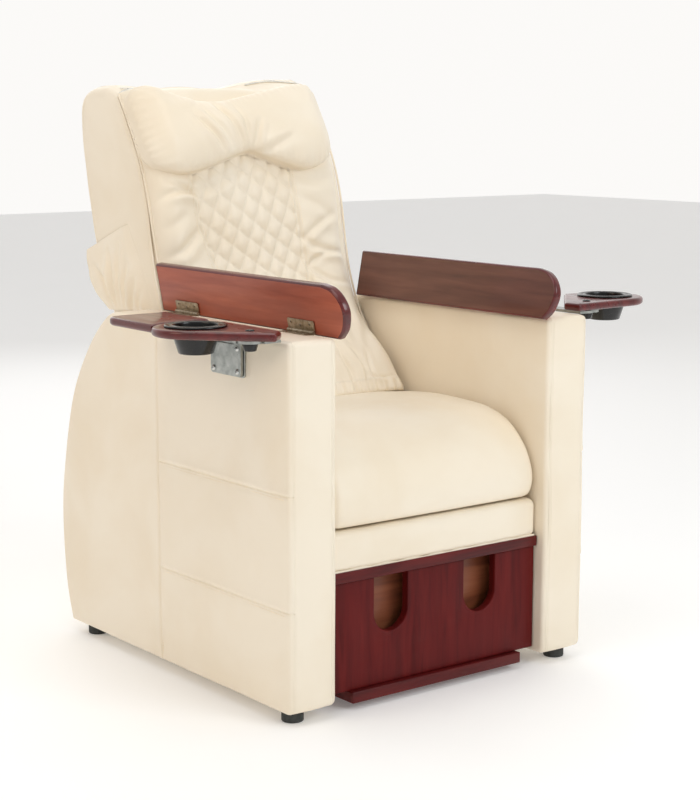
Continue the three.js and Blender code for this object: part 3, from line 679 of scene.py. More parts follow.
def arm_band(x, outline, outward):
    """The narrow front, top and rear strips, with a seam near each of the front's long edges."""
    middle = (ARM["inner"] + ARM["outer"]) / 2
    half = (ARM["outer"] - ARM["inner"]) / 2
    height = 1.8 * (1 - ((x - middle) / half) ** 2) * np.ones(len(outline))
    facing = smoothstep(-outward[:, 0], 0.6, 0.95)
    z = outline[:, 1]
    groove = -1.5 * bell(x - ARM_SEAM_X[0], 1.3) - 1.2 * bell(x - ARM_SEAM_X[1], 1.2)
    height += facing * (groove + 0.8 * ripple(np.full(len(z), x), z, 41, 200))
    under = smoothstep(-outward[:, 1], 0.6, 0.95)
    return height + under * (-1.0 + 0.7 * ripple(outline[:, 0], np.full(len(z), x), 43, 120))


def seam_thread(points, normal):
    """Stitches along straight steps between points."""
    return stitches(resample(points, max(2, int(lengths(np.asarray(points, float))[-1] // 4))), normal)


def make_arms():
    """Both arms in leather, with thread along the seams of their outer sides."""
    front, rear = arm_edges()
    inner, outer, edge = ARM["inner"], ARM["outer"], ARM["edge"]
    seams = [ARM_SEAM_X[0] + o for o in (-3, -1.5, 0, 1.5, 3)]
    seams += [ARM_SEAM_X[1] + o for o in (-2.4, -1.2, 0, 1.2)]
    strips = sorted(seams + list(np.linspace(inner + edge + 8, outer - edge - 8, 8)))
    shape = slab(front, rear, inner, outer, edge, arm_places, arm_face, arm_band, strips)
    for obj in pair("arm_upholstery", shape, CREAM, "chair_base", ["{side}_arm_cover"]):
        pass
    x = outer + 1.0
    threads = [seam_thread([(x, ARM_SEAM_Y - 6, 40), (x, ARM_SEAM_Y - 6, 660)], (1, 0, 0))]
    for level in ARM_SEAM_Z:
        threads.append(seam_thread([(x, 14, level - 6), (x, ARM_SEAM_Y - 10, level - 6)], (1, 0, 0)))
    pair("arm_stitching", gather(threads), THREAD, "chair_base")


make_arms()


def shell_places(front, rear):
    """Column places along one level of the back shell, crowded at both edges."""
    reference = 250
    length = np.linalg.norm(rear - front)
    return np.interp(stations(0, reference, (), edge=(0, 1, 2.5, 4.5, 7, 10, 13, 16, 19, 23)),
                     [0, 24, reference - 24, reference], [0, 24, length - 24, length])


def shell_face(y, z, edge, side):
    """How far the leather stands out on the shell's sides, with a seam inside their edge."""
    height = 3.5 * smoothstep(edge, 4, 70) + 0.8 * ripple(y, z, 51, 130)
    return height - 1.8 * bell(edge - 19, 2.2)


def shell_band(x, outline, outward):
    """The shell's rear and top: soft, with a boxing seam along both sides and a slack top edge."""
    half = BACK["shell"]
    height = 6 * (1 - (x / half) ** 2) * np.ones(len(outline))
    height -= 1.6 * bell(abs(x) - BACK["boxing_seam"], 2.2)
    height += 1.2 * ripple(np.full(len(outline), x), lengths(outline), 53, 150)
    top = smoothstep(outward[:, 1], 0.5, 0.9) * smoothstep(outline[:, 1], 1040, 1100)
    slack = (1 - (x / half) ** 2) * (11 + 3 * math.sin(x / 31)) - 17 * float(smoothstep(x, 0, 190)) - 3
    front = smoothstep(-outward[:, 0], 0.2, 0.6)
    return height * (1 - front) - top * slack


def make_back_shell():
    """The cover of the back's outer shell; gives its surface, on which the zips are laid."""
    steps = stations(0, 1, (), step=0.022, edge=(0, 0.0015, 0.004, 0.008, 0.013, 0.019, 0.026))
    front, rear = spline(SHELL_FRONT, 400), spline(SHELL_REAR, 400)
    at = np.linspace(0, 1, 400)
    front = np.stack([np.interp(steps, at, front[:, k]) for k in (0, 1)], 1)
    rear = np.stack([np.interp(steps, at, rear[:, k]) for k in (0, 1)], 1)
    half = BACK["shell"]
    seams = [side * (BACK["boxing_seam"] + o) for side in (-1, 1) for o in (-5, -3, -1.5, 0, 1.5, 3)]
    strips = sorted(seams + list(np.linspace(-half + 34, half - 34, 34)))
    shape = slab(front, rear, -half, half, 18, shell_places, shell_face, shell_band, strips)
    piece("back_upholstery", shape, CREAM, "backrest", ["back_shell"])
    return BVHTree.FromPolygons(shape.points.tolist(), shape.faces)


SHELL_TREE = make_back_shell()


# ------------------------------------------------------------------ seat
def swept(profile, places, radius, shape_at):
    """A cushion swept along X: a closed (y, z) profile, drawn in by radius at both ends."""
    low, high = places[0], places[-1]
    ahead = np.roll(profile, -1, 0)
    area = 0.5 * np.sum(profile[:, 0] * ahead[:, 1] - ahead[:, 0] * profile[:, 1])
    loop = profile if area > 0 else profile[::-1]
    rings = []
    for x in places:
        gone = radius * (1 - float(ease(min(x - low, high - x), radius)))
        ring = inset(loop, gone) if gone > 1e-6 else loop
        rings.append(shape_at(x, ring))
    count = len(loop)
    points = np.concatenate(rings)
    faces = grid_faces(len(rings), count, wrap=True)
    first = list(range(count))
    last = list(range(len(points) - count, len(points)))
    return Shape(points, faces + [first[::-1], last], {len(faces), len(faces) + 1})


def seat_profile():
    """The seat cushion from the side: flat below, a rolled front and a crowned top."""
    base = [0, SEAT["bottom"]]
    crown = [(72, -2), (40, -9), (24, -1), (16.5, 24), (21, 56), (42, 98), (84, 136), (145, 156), (230, 162),
             (330, 160), (400, 153), (424, 138), (430, 110)]
    rear = [(430, 60), (428, 14), (416, 0)]
    return np.vstack([spline(crown, 90) + base, spline(rear, 14) + base, np.add([[300, 0], [160, 0]], base)])


def seat_at(x, ring):
    """The seat cushion's section at x: crowned in the middle, easing down to both sides."""
    t = x / SEAT["half"]
    y, z = ring.T
    up = smoothstep(z, SEAT["bottom"] + 10, SEAT["bottom"] + 120)
    crown = 5 * (1 - abs(t) ** 2.4) - 5 * abs(t) ** 5
    soft = 0.9 * ripple(np.full(len(y), x), y, 61, 190)
    z2 = z + up * (crown + soft)
    y2 = y - 3.0 * (1 - t * t) * (1 - smoothstep(y, 20, 120))
    dimple = -2.2 * up * bell(x + 60, 60) * bell(y - 300, 50)
    return np.column_stack([np.full(len(y), x), y2, z2 + dimple])


def make_seat():
    """The seat cushion's cover."""
    places = stations(-SEAT["half"], SEAT["half"], (), step=9, edge=(0, 0.5, 1.6, 3.4, 6, 9, 13, 18, 24))
    shape = swept(seat_profile(), places, 24, seat_at)
    piece("seat_upholstery", shape, CREAM, "chair_base", ["seat_cushion"])


make_seat()


def rail_at(x, ring):
    """The front rail's section at x, a little fuller in the middle."""
    y, z = ring.T
    t = x / OPENING
    front = 1 - smoothstep(y, 24, 60)
    return np.column_stack([np.full(len(y), x), y - 2.2 * (1 - t**4) * front + 0.5 * front * math.sin(x / 43),
                            z + 0.7 * ripple(np.full(len(y), x), y, 71, 120)])


def make_front_rail():
    """The padded rail below the seat cushion, with its hem strip stapled along the bottom."""
    r = FRONT_RAIL
    outline = (arc((r["front"] + 9, r["bottom"] + 9), 9, 180, 270, 6)
               + arc((r["back"] - 6, r["bottom"] + 6), 6, 270, 360, 5)
               + arc((r["back"] - 8, r["top"] - 8), 8, 0, 90, 5)
               + arc((r["front"] + 15, r["top"] - 15), 15, 90, 180, 9))
    middle = [(r["front"], z) for z in np.linspace(r["top"] - 20, r["bottom"] + 13, 5)]
    half = OPENING - 1
    places = stations(-half, half, (), step=10, edge=(0, 0.5, 1.5, 3, 5.2, 8, 12))
    shape = swept(np.array(outline + middle), places, 11, rail_at)
    piece("front_rail_upholstery", shape, CREAM, "chair_base", ["front_rail_pad"])
    x = np.linspace(-half + 3, half - 3, 160)
    z = 257.6 + 1.3 * ripple(x, x, 73, 50)
    profile = np.array([(-0.6, 0), (-1.6, -2.2), (6, -2.6), (6, 1.6), (-0.4, 2.4)])
    rings = [np.column_stack([np.full(5, a), profile + [r["front"], b]]) for a, b in zip(x, z)]
    faces = grid_faces(len(rings), 5, wrap=True)
    faces += [[4, 3, 2, 1, 0], list(range(5 * len(x) - 5, 5 * len(x)))]
    piece("front_rail_hem", Shape(np.concatenate(rings), faces), CREAM, "chair_base")


make_front_rail()


# ------------------------------------------------------------------ the pad on the back
def pad_line():
    """The line where pad meets shell from the top down, with its running length and forward normals."""
    line = spline(PAD_BACK, 700)
    run = lengths(line)
    along = np.gradient(line, run, axis=0)
    along /= np.linalg.norm(along, axis=1)[:, None]
    return line, run, np.stack([along[:, 1], -along[:, 0]], 1), along


PAD_LINE, PAD_RUN, PAD_NORMAL, PAD_ALONG = pad_line()
PAD_LENGTH = PAD_RUN[-1]
# The loose lower edge hangs past the end of the pad line and lies on the seat.
PAD_END = PAD_LENGTH + 30


def on_back(x, s, lift):
    """Points at x across the back, s down its pad line from the top, and lift forward of it."""
    x, s, lift = (np.ravel(v).astype(float) for v in np.broadcast_arrays(x, s, lift))
    at = np.clip(s, 0, PAD_LENGTH)
    past = s - at
    y, z, ny, nz, ay, az = (np.interp(at, PAD_RUN, v) for v in
                            (*PAD_LINE.T, *PAD_NORMAL.T, *PAD_ALONG.T))
    return np.column_stack([x, y + ny * lift + ay * past, z + nz * lift + az * past])


def side_line(*marks):
    """An edge of the pad as a function of s, from a few [s, x] marks."""
    marks = spline(marks, 200)
    return lambda s: np.interp(s, marks[:, 0], marks[:, 1])


pad_left_edge = side_line((0, -240), (240, -240), (340, -235), (420, -231), (520, -230), (600, -233),
                          (670, -238))
pad_right_edge = side_line((0, 222), (240, 214), (340, 211), (440, 219), (540, 221), (600, 232), (690, 246))
quilt_left = side_line((140, -166), (238, -156), (301, -147), (373, -128), (450, -112), (520, -104),
                       (560, -100))
quilt_right = side_line((140, 84), (205, 88), (310, 94), (395, 101), (450, 103), (520, 101), (560, 98))
# One crossing of the quilting lines, and the step from it to the next crossing along each line.
QUILT = {"top": 150, "bottom": 548, "knot": (-40, 270), "steps": ((26, 20), (-16, 33.5))}


def along_fold(path, a, b):
    """For points (a, b): distance to a fold's path, which side of it, and how far along it they are."""
    path = spline(path, 24) if len(path) > 2 else resample(path, 12)
    run = lengths(path)
    p = np.stack([np.ravel(a), np.ravel(b)], 1)
    best, side, share = np.full(len(p), 1e9), np.zeros(len(p)), np.zeros(len(p))
    for start, end, passed in zip(path[:-1], path[1:], run):
        step = end - start
        t = np.clip(((p - start) @ step) / (step @ step), 0, 1)
        away = p - start - t[:, None] * step
        distance = np.linalg.norm(away, axis=1)
        near = distance < best
        best = np.where(near, distance, best)
        side = np.where(near, np.sign(step[0] * away[:, 1] - step[1] * away[:, 0]), side)
        share = np.where(near, (passed + t * np.linalg.norm(step)) / run[-1], share)
    shape = np.shape(a)
    return best.reshape(shape), side.reshape(shape), share.reshape(shape)


def fold(a, b, path, depth, width, lean=1):
    """A crease in the leather: a valley along a path with a rounded swell on the side it leans to."""
    distance, side, share = along_fold(path, a, b)
    taper = np.sin(np.pi * np.clip(share, 0.02, 0.98)) ** 0.5
    swell = bell(side * distance * lean - 1.9 * width, 1.5 * width)
    other = bell(side * distance * lean + 2.4 * width, 1.6 * width)
    return taper * depth * (-bell(distance, width) + 0.75 * swell + 0.3 * other)


# Each fold: its path as (x, s) points, its depth, its width and the side that swells.
PAD_FOLDS = [
    ([(-234, 244), (-212, 231), (-180, 227), (-150, 231)], 7.5, 6.5, 1),
    ([(-212, 206), (-160, 226), (-110, 222), (-56, 200), (-6, 182), (50, 196)], 9, 7, 1),
    ([(-230, 356), (-196, 342), (-166, 314), (-148, 298)], 7, 9, 1),
    ([(-236, 300), (-205, 286), (-176, 268)], 3.4, 11, -1),
    ([(92, 336), (128, 308), (156, 291), (196, 276)], 5, 7, 1),
    ([(94, 322), (124, 347), (168, 359), (210, 366)], 7, 7, 1),
    ([(98, 243), (140, 262), (182, 284)], 3.2, 9, 1),
    ([(102, 392), (126, 372), (164, 362)], 3.8, 6, -1),
    ([(102, 392), (128, 414), (160, 432), (206, 437)], 4.4, 7, 1),
    ([(104, 205), (150, 214), (204, 204)], 3, 9, 1),
    ([(-132, 398), (-160, 408), (-200, 420), (-228, 424)], 5, 9, 1),
    ([(-116, 452), (-150, 470), (-196, 478), (-226, 474)], 4, 10, -1),
    ([(176, 470), (160, 540), (144, 622)], 5, 12, 1),
    ([(206, 480), (196, 548), (160, 634)], 4.4, 10, -1),
    ([(110, 520), (124, 570), (140, 630)], 4, 9, 1),
    ([(-178, 482), (-164, 548), (-150, 632)], 5, 12, -1),
    ([(-212, 500), (-200, 560), (-184, 632)], 4.4, 10, 1),
    ([(-112, 520), (-122, 570), (-134, 630)], 4, 9, -1),
    ([(-60, 560), (-66, 600), (-60, 640)], 3.2, 8, 1),
    ([(10, 562), (4, 600), (12, 640)], 3.6, 9, -1),
    ([(66, 556), (72, 596), (64, 640)], 3.2, 8, 1),
    ([(120, 600), (138, 634), (128, 676)], 4.5, 4.5, 1),
    ([(160, 612), (150, 646), (162, 684)], 4.5, 4, -1),
    ([(92, 612), (104, 646), (96, 684)], 4, 4, 1),
    ([(136, 648), (172, 660), (206, 656)], 3.2, 4, 1),
    ([(-150, 606), (-138, 640), (-148, 680)], 4.5, 4.5, -1),
    ([(-30, 604), (-38, 644), (-28, 684)], 4, 4.5, 1),
    ([(40, 606), (30, 644), (42, 684)], 3.6, 4.5, -1),
]


def quilt_edges(x, s):
    """Distance inside the quilted panel, negative outside, and the distance to its side borders."""
    left, right = x - quilt_left(s), quilt_right(s) - x
    return np.minimum(np.minimum(left, right), np.minimum(s - QUILT["top"], QUILT["bottom"] - s)), \
        np.minimum(np.abs(left), np.abs(right))


def diamonds(x, s):
    """Two families of slanting lines across the quilt, as numbers that are whole on each line."""
    (x1, s1), (x2, s2) = QUILT["steps"]
    across, down = x - QUILT["knot"][0], s - QUILT["knot"][1]
    area = x1 * s2 - x2 * s1
    return (s2 * across - x2 * down) / area, (x1 * down - s1 * across) / area


def pad_lift(x, s):
    """How far the pad's face stands forward of the pad line."""
    inside, border = quilt_edges(x, s)
    edge = np.minimum(x - pad_left_edge(s), pad_right_edge(s) - x)
    quilted = smoothstep(inside, 0, 4)
    one, two = diamonds(x, s)
    puff = (np.abs(np.sin(np.pi * one)) * np.abs(np.sin(np.pi * two))) ** 0.5
    wing = np.minimum(edge, np.where(inside < 0, border, 0))
    height = BACK["thick"] - 2.0
    height = height + quilted * (7.2 * puff - 5)
    height = height + (1 - quilted) * (9 * (1 - np.exp(-np.maximum(wing, 0) / 26)))
    height = height - 3.0 * bell(border, 2.0) * (inside > -8) + 1.2 * bell(border - 6, 3.5)
    height = height - 0.9 * bell(border - 7, 1.3) * (inside > -30)
    loose = (1 - quilted) * smoothstep(edge, 4, 30)
    height = height + loose * 1.6 * ripple(x, s, 81, 120) + 0.6 * ripple(x, s, 82, 260)
    for path, depth, width, lean in PAD_FOLDS:
        height = height + fold(x, s, path, depth, width, lean) * (1 - 0.8 * quilted)
    hem = PAD_END - s
    gathers = np.cos(math.tau * (x + 3 * np.sin(x / 19)) / 21)
    height = height + 2.4 * gathers * bell(hem - 6, 34) + 30 * bell(hem, 74)
    top = ease(np.maximum(s, 0), 30)
    round_side = ease(np.maximum(edge, 0), 40) * 0.96 + 0.04
    return 2 + (height - 2) * round_side * (0.2 + 0.8 * top) * (0.88 + 0.12 * ease(np.maximum(hem, 0), 9))


def make_back_pad():
    """The loose pad: folds on both wings, a quilted middle and a lower edge that lies on the seat."""
    s = np.unique(np.concatenate([[0, 0.6, 1.6, 3.2, 5.5, 8], np.arange(11, 20, 3),
                                  np.arange(20, PAD_END - 24, 2.6),
                                  PAD_END - np.array([22, 18, 14.5, 11, 8, 5.4, 3.2, 1.6, 0.6, 0])]))
    near = np.array([0, 0.25, 0.9, 2, 3.6, 5.6, 8, 11, 14.5, 18, 22, 26, 30])
    middle = np.linspace(0, 1, 158)[1:-1]
    left, right = pad_left_edge(s)[:, None], pad_right_edge(s)[:, None]
    inner_left, inner_right = left + near[-1], right - near[-1]
    x = np.concatenate([left + near, inner_left + (inner_right - inner_left) * middle, right - near[::-1]], 1)
    grid_s = np.broadcast_to(s[:, None], x.shape)
    front = on_back(x, grid_s, pad_lift(x, grid_s))
    shape = skin(front, on_back(x, grid_s, 0.6), x.shape, flip=True)
    pad = piece("back_pad_upholstery", shape, CREAM, "backrest", ["back_pad"])


make_back_pad()


def on_pad(path):
    """Points just above the pad's face along a path of (x, s) points, and their forward normals."""
    x, s = path.T
    lift = pad_lift(x, s) + 0.1
    points = on_back(x, s, lift)
    return points, on_back(x, s, lift + 1) - points


def make_quilt_stitching():
    """Thread along every quilting line, and a row on each side of both border seams."""
    made = []
    knot = np.array(QUILT["knot"], float)
    steps = np.array(QUILT["steps"], float)
    along = np.arange(-16, 17, 0.04)[:, None]
    for family in (0, 1):
        for k in range(-16, 17):
            path = knot + k * steps[family] + along * steps[1 - family]
            path = path[quilt_edges(path[:, 0], path[:, 1])[0] > 3]
            if len(path) > 8:
                made.append(stitches(*on_pad(path), radius=0.5))
    s = np.arange(QUILT["top"] - 4, QUILT["bottom"], 3)
    for border, side in ((quilt_left, -1), (quilt_right, 1)):
        for offset in (7 * side, -7 * side):
            made.append(stitches(*on_pad(np.stack([border(s) + offset, s], 1))))
    piece("quilt_stitching", gather(made), THREAD, "backrest")


make_quilt_stitching()


def make_piping():
    """Corded edges down both sides of the pad and along the shell beside it."""
    s = np.linspace(4, PAD_LENGTH - 30, 150)
    for side, edge, reach in (("right", pad_left_edge, -1), ("left", pad_right_edge, 1)):
        x = edge(s) + 0.3 * reach
        cord = tube(on_back(x, s, 3.4), 2.7, 10)
        inner = tube(on_back(np.full(len(s), reach * (BACK["shell"] - 1.4)), s, -4.5), 2.3, 10)
        piece(f"{side}_pad_piping", cord, CREAM, "backrest")
        piece(f"{side}_shell_piping", inner, CREAM, "backrest")


make_piping()


# ------------------------------------------------------------------ head pillow
PILLOW_TOP = [(-252, 50), (-249, 32), (-238, 22), (-212, 20), (-180, 29), (-144, 45), (-104, 55), (-60, 56),
              (-10, 48), (50, 35), (110, 21), (160, 13), (190, 19), (202, 42)]
PILLOW_BOTTOM = [(-252, 140), (-246, 164), (-226, 184), (-196, 196), (-160, 196), (-108, 184), (-56, 168),
                 (-12, 158), (20, 168), (64, 183), (108, 194), (148, 190), (178, 176), (196, 156), (202, 126)]
# Creases that run out from the pinch in the pillow's lower seam, as (x, s) points.
PILLOW_FOLDS = [
    ([(-140, 104), (-112, 132), (-80, 160)], 6.5, 6, 1),
    ([(-116, 90), (-90, 122), (-62, 150)], 6, 5.5, 1),
    ([(-78, 78), (-54, 116), (-32, 148)], 4.4, 5.5, -1),
    ([(-34, 80), (-22, 114), (-16, 148)], 4, 5.5, 1),
    ([(18, 104), (4, 130), (-8, 154)], 4.2, 5.5, -1),
    ([(86, 140), (42, 152), (0, 158)], 4.2, 5.5, 1),
    ([(-84, 70), (-70, 90), (-50, 112)], 3.6, 6.5, 1),
    ([(-104, 62), (-130, 82), (-162, 96)], 3, 8, 1),
]


def make_pillow():
    """A two-lobed head pillow: seams pulled in at a pinch, gathered ends, creases across its face."""
    top, bottom = spline(PILLOW_TOP, 300), spline(PILLOW_BOTTOM, 300)
    low, high = top[0, 0], top[-1, 0]
    xs = stations(low, high, (), step=3.2, edge=(0, 0.5, 1.5, 3, 5, 7.5, 10.5, 14))
    upper, lower = np.interp(xs, top[:, 0], top[:, 1]), np.interp(xs, bottom[:, 0], bottom[:, 1])
    share = np.concatenate([[0, 0.003, 0.01, 0.022, 0.038, 0.058], np.linspace(0.08, 0.92, 46),
                            [0.942, 0.962, 0.978, 0.99, 0.997, 1]])
    x = np.repeat(xs[:, None], len(share), 1)
    s = upper[:, None] + (lower - upper)[:, None] * share
    outline = np.vstack([np.stack([xs, upper], 1), np.stack([xs, lower], 1)[::-1], [[xs[0], upper[0]]]])
    edge = distance_to(outline, x, s)
    seam = 38 - 17 * (1 - smoothstep(x, low, low + 52)) - 10 * smoothstep(x, high - 46, high)
    pinch = -4
    lobes = 1 - 0.07 * bell(x - pinch, 60) * smoothstep(s, 40, 130)
    face = seam + 50 * lobes * ease(edge, 62)
    for path, depth, width, lean in PILLOW_FOLDS:
        face += fold(x, s, path, depth, width, lean) * smoothstep(edge, 0, 14)
    ends = bell(x - low, 46) + 0.7 * bell(x - high, 40)
    around = np.where(np.abs(x - low) < 60, s, x)
    gathers = np.cos(math.tau * (around + 4 * np.sin(around / 23)) / 15)
    face += (0.35 + ends) * 2.1 * gathers * bell(edge - 9, 13)
    face += 1.0 * ripple(x, s, 91, 110) * smoothstep(edge, 4, 40)
    overhang = 7 * bell(edge - 12, 15)
    down = smoothstep(s, upper[:, None] + 20, lower[:, None] - 10) * 2 - 1
    s_face = s + overhang * down * smoothstep(edge, 0, 6)
    sideways = smoothstep(x, high - 60, high) - (1 - smoothstep(x, low, low + 60))
    x_face = x + 4 * bell(edge - 12, 12) * smoothstep(edge, 0, 6) * sideways
    back = seam - 4.5 * ease(edge, 24)
    shape = skin(on_back(x_face, s_face, face), on_back(x, s, back), x.shape)
    piece("head_pillow_upholstery", shape, CREAM, "backrest", ["head_pillow"])
    ring = on_back(outline[:, 0], outline[:, 1], np.interp(outline[:, 0], xs, seam[:, 0]) - 0.6)
    piece("head_pillow_seam", tube(resample(ring, 300), 1.5, 8), CREAM, "backrest")


make_pillow()


def make_zips():
    """Short zips along the top corners of the cover: a woven tape with metal teeth and a pull."""
    teeth, tapes, pulls = [], [], []
    ways = ([(-238, 742, 1104), (-214, 756, 1116), (-186, 770, 1118.5), (-150, 782, 1114)],
            [(96, 782, 1123), (140, 776, 1131), (186, 768, 1138), (226, 756, 1133)])
    for way in ways:
        path = spline(way, 60)
        for point in path:
            point[2] = SHELL_TREE.ray_cast((point[0], point[1], 1250), (0, 0, -1))[0].z + 0.2
        run = lengths(path)
        tape = [path + [0, d, 0.6] for d in (-5, 5)]
        tapes.append(Shape(np.vstack([tape[0], tape[1], tape[0] - [0, 0, 1], tape[1] - [0, 0, 1]]),
                           ribbon_faces(len(path))))
        for a in np.arange(2, run[-1] - 2, 2.4):
            at = np.array([np.interp(a, run, path[:, k]) for k in range(3)])
            teeth.append(box_shape(-0.7, 0.7, -2, 2, 0.5, 1.9, 0.3).moved(*at))
        slider = box_shape(-5, 5, -3.5, 3.5, 0.4, 3.4, 1)
        tag = box_shape(-22, -4, -2.2, 2.2, 2.2, 3.6, 0.6)
        pulls.append(gather([slider, tag]).moved(*path[30]))
    piece("cover_zip_tape", gather(tapes), TAPE, "backrest")
    piece("cover_zip_teeth", gather(teeth + pulls), ZIP, "backrest")


def ribbon_faces(count):
    """Faces of a flat strip stored as four edges: top left, top right, bottom left, bottom right."""
    a, b, c, d = (np.arange(count) + k * count for k in range(4))
    faces = []
    for i in range(count - 1):
        faces += [[a[i], a[i + 1], b[i + 1], b[i]], [c[i], d[i], d[i + 1], c[i + 1]],
                  [a[i], c[i], c[i + 1], a[i + 1]], [b[i], b[i + 1], d[i + 1], d[i]]]
    return faces + [[a[0], b[0], d[0], c[0]], [a[-1], c[-1], d[-1], b[-1]]]


make_zips()


# ------------------------------------------------------------------ gussets and skirt
# The gathers, from where the leather is tucked in beside the arm up to where each dies out, as (y, z).
GUSSET_FOLDS = [
    ([(738, 668), (762, 716), (800, 748)], 6, 6, 1),
    ([(726, 668), (738, 724), (760, 782)], 7, 6, -1),
    ([(714, 668), (716, 730), (722, 796)], 6.5, 7, 1),
    ([(700, 668), (694, 716), (690, 760)], 5, 6, 1),
    ([(676, 668), (668, 704), (664, 740)], 4, 6, -1),
    ([(650, 670), (646, 694), (644, 716)], 3, 6, 1),
]


# The gusset's corners, as (y, z): low front, low rear, high front, high rear.
GUSSET_CORNERS = ((606, 672), (758, 664), (684, 846), (852, 780))


def make_gussets():
    """Loose leather folded beside the back, drawn into gathers where it tucks in beside the arm."""
    u, v = np.meshgrid(np.linspace(0, 1, 110), np.linspace(0, 1, 70))
    low_front, low_rear, high_front, high_rear = np.array(GUSSET_CORNERS, float)
    a, b = u[..., None], v[..., None]
    yz = (low_front * (1 - a) + low_rear * a) * (1 - b) + (high_front * (1 - a) + high_rear * a) * b
    tucked = smoothstep(u, 0, 0.2)
    belly = np.sin(np.pi * np.clip(0.12 + 0.8 * v, 0, 1)) ** 0.8
    swell = tucked * belly * (10 + 12 * u**1.3) - 5.5 * (1 - tucked)
    yz = yz + np.stack([10 * belly * (u - 0.4), -4 * belly * u], -1)
    for path, depth, width, lean in GUSSET_FOLDS:
        swell += fold(yz[..., 0], yz[..., 1], path, depth, width, lean) * tucked
    swell += 1.8 * ripple(u * 180, v * 150, 101, 60) * belly * tucked
    outer = np.concatenate([(BACK["shell"] + 4.2 + swell)[..., None], yz], -1)
    edge = np.minimum(np.minimum(u, 1 - u), np.minimum(v, 1 - v))
    inner = outer.copy()
    inner[..., 0] -= 0.6 + 2.6 * ease(edge, 0.03)
    shape = skin(outer, inner, u.shape)
    for obj in pair("gusset_leather", shape, CREAM, "backrest", ["{side}_side_gusset"]):
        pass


make_gussets()


def make_rear_skirt():
    """The loose skirt below the back shell, in soft upright folds, its ends tucked in beside the arms."""
    u, v = np.meshgrid(np.linspace(-1, 1, 150), np.linspace(0, 1, 36))
    line = spline([(757, 431), (758, 480), (745, 530), (725, 565)], 36)
    half, thickness = OPENING - 1.5, 2.2
    arm_y = np.interp(line[:, 1], [z for y, z in ARM_REAR], [y for y, z in ARM_REAR])
    tuck = np.maximum(0, line[:, 0] - arm_y + 8)[:, None] * smoothstep(np.abs(u), 0.88, 1)
    wave = 2.6 * np.sin(u * 15 + 1.3 * np.sin(u * 4)) * np.sin(np.pi * v) ** 0.7
    y = line[:, 0][:, None] + wave - tuck
    z = np.broadcast_to(line[:, 1][:, None], y.shape)
    outer = np.stack([u * half, y, z], -1)
    shape = skin(outer, outer - [0, thickness, 0], u.shape, flip=True)
    skirt = mesh_object("rear_skirt_leather", shape, CREAM)
    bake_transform(skirt)
    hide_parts("rear_skirt")


make_rear_skirt()


def make_rear_panel():
    """The padded panel that closes the back of the base, with a seam down each side."""
    u, v = np.meshgrid(np.linspace(-1, 1, 100), np.linspace(0, 1, 60))
    half, tall = OPENING - 0.5, 394
    outer = spline([(763, 40), (785, 110), (794, 226), (786, 333), (758, 430)], 60)
    edge = np.minimum((1 - np.abs(u)) * half, np.minimum(v, 1 - v) * tall)
    swell = 4 * smoothstep(edge, 4, 60) - 7 * (1 - ease(edge, 7)) + 0.8 * ripple(u * half, v * tall, 111, 150)
    swell -= 1.6 * bell(np.abs(u) * half - (half - 26), 2.4)
    y = outer[:, 0][:, None] + swell
    z = np.broadcast_to(outer[:, 1][:, None], y.shape)
    front = np.stack([u * half, y, z], -1)
    back = np.stack([u * half, np.broadcast_to(outer[:, 0][:, None] - 14, y.shape), z], -1)
    shape = skin(front, back, u.shape, flip=True)
    piece("rear_panel_upholstery", shape, CREAM, "chair_base", ["rear_panel"])


make_rear_panel()


# ------------------------------------------------------------------ feet, drawer and rails
def make_feet():
    """Four turned feet, each eased at the floor and waisted under the arm."""
    profile = [(0, 0), (17.4, 0), (19.2, 0.7), (20, 2.4), (20, 14.8), (19.5, 17), (18, 18), (15.4, 18.4),
               (15, 19), (15, 21.6), (0, 21.6)]
    for place in ("front", "rear"):
        shape = lathe(profile, 48, (FOOT["x"], FOOT[place], 0))
        pair(f"{place}_foot_pad", shape, RUBBER, "chair_base", ["{side}_%s_foot" % place], 40)


def drawer_outline():
    """The drawer front's outline, with its two U-shaped finger slots."""
    d = DRAWER
    points = [(-d["half"], d["bottom"]), (d["half"], d["bottom"]), (d["half"], d["top"])]
    for x in (d["slot"], -d["slot"]):
        points.append((x + SLOT_RADIUS, d["top"]))
        points += arc((x, d["centre"]), SLOT_RADIUS, 0, -180, 40)
        points.append((x - SLOT_RADIUS, d["top"]))
    return points + [(-d["half"], d["top"])]


def make_drawer():
    """The drawer's front and plinth, the rail above it, and the stain on the drawer box."""
    d = DRAWER
    front = rounded_plate(drawer_outline(), d["front"], d["front"] + d["thick"], 2.4, steps=6)
    front = standing(front, "awb")
    piece("drawer_front_panel", front, CHERRY_FRONT, "drawer", ["drawer_front"], 40)
    p = PLINTH
    shape = box_shape(-p["half"], p["half"], p["front"], p["back"], p["bottom"], p["top"], 1.6)
    piece("drawer_plinth_board", shape, CHERRY_X, "drawer", ["drawer_plinth"], 40)
    t = TOP_RAIL
    shape = box_shape(-OPENING, OPENING, t["front"], t["back"], t["bottom"], t["top"], 1.8)
    piece("cherry_top_rail", shape, CHERRY_X, "chair_base", ["drawer_top_rail"], 40)
    for slot in frame["nodes"]["drawer_box"].material_slots:
        slot.material = CHERRY_IN


make_feet()
make_drawer()


# ------------------------------------------------------------------ flip boards and hinges
def opened(shape):
    """Turns what is drawn lying closed on the arm, (u, y, w), up to where the board stands open."""
    turn = math.radians(BOARD["open"])
    u, y, w = shape.points.T
    x = u * math.cos(turn) - w * math.sin(turn) + HINGE["x"]
    z = u * math.sin(turn) + w * math.cos(turn) + HINGE["z"]
    return Shape(np.stack([x, y, z], 1), shape.faces, shape.flat)


def laid(shape):
    """Places what is drawn beside a hinge's pin, (u, y, w), flat on the arm."""
    return shape.moved(HINGE["x"], 0, HINGE["z"])


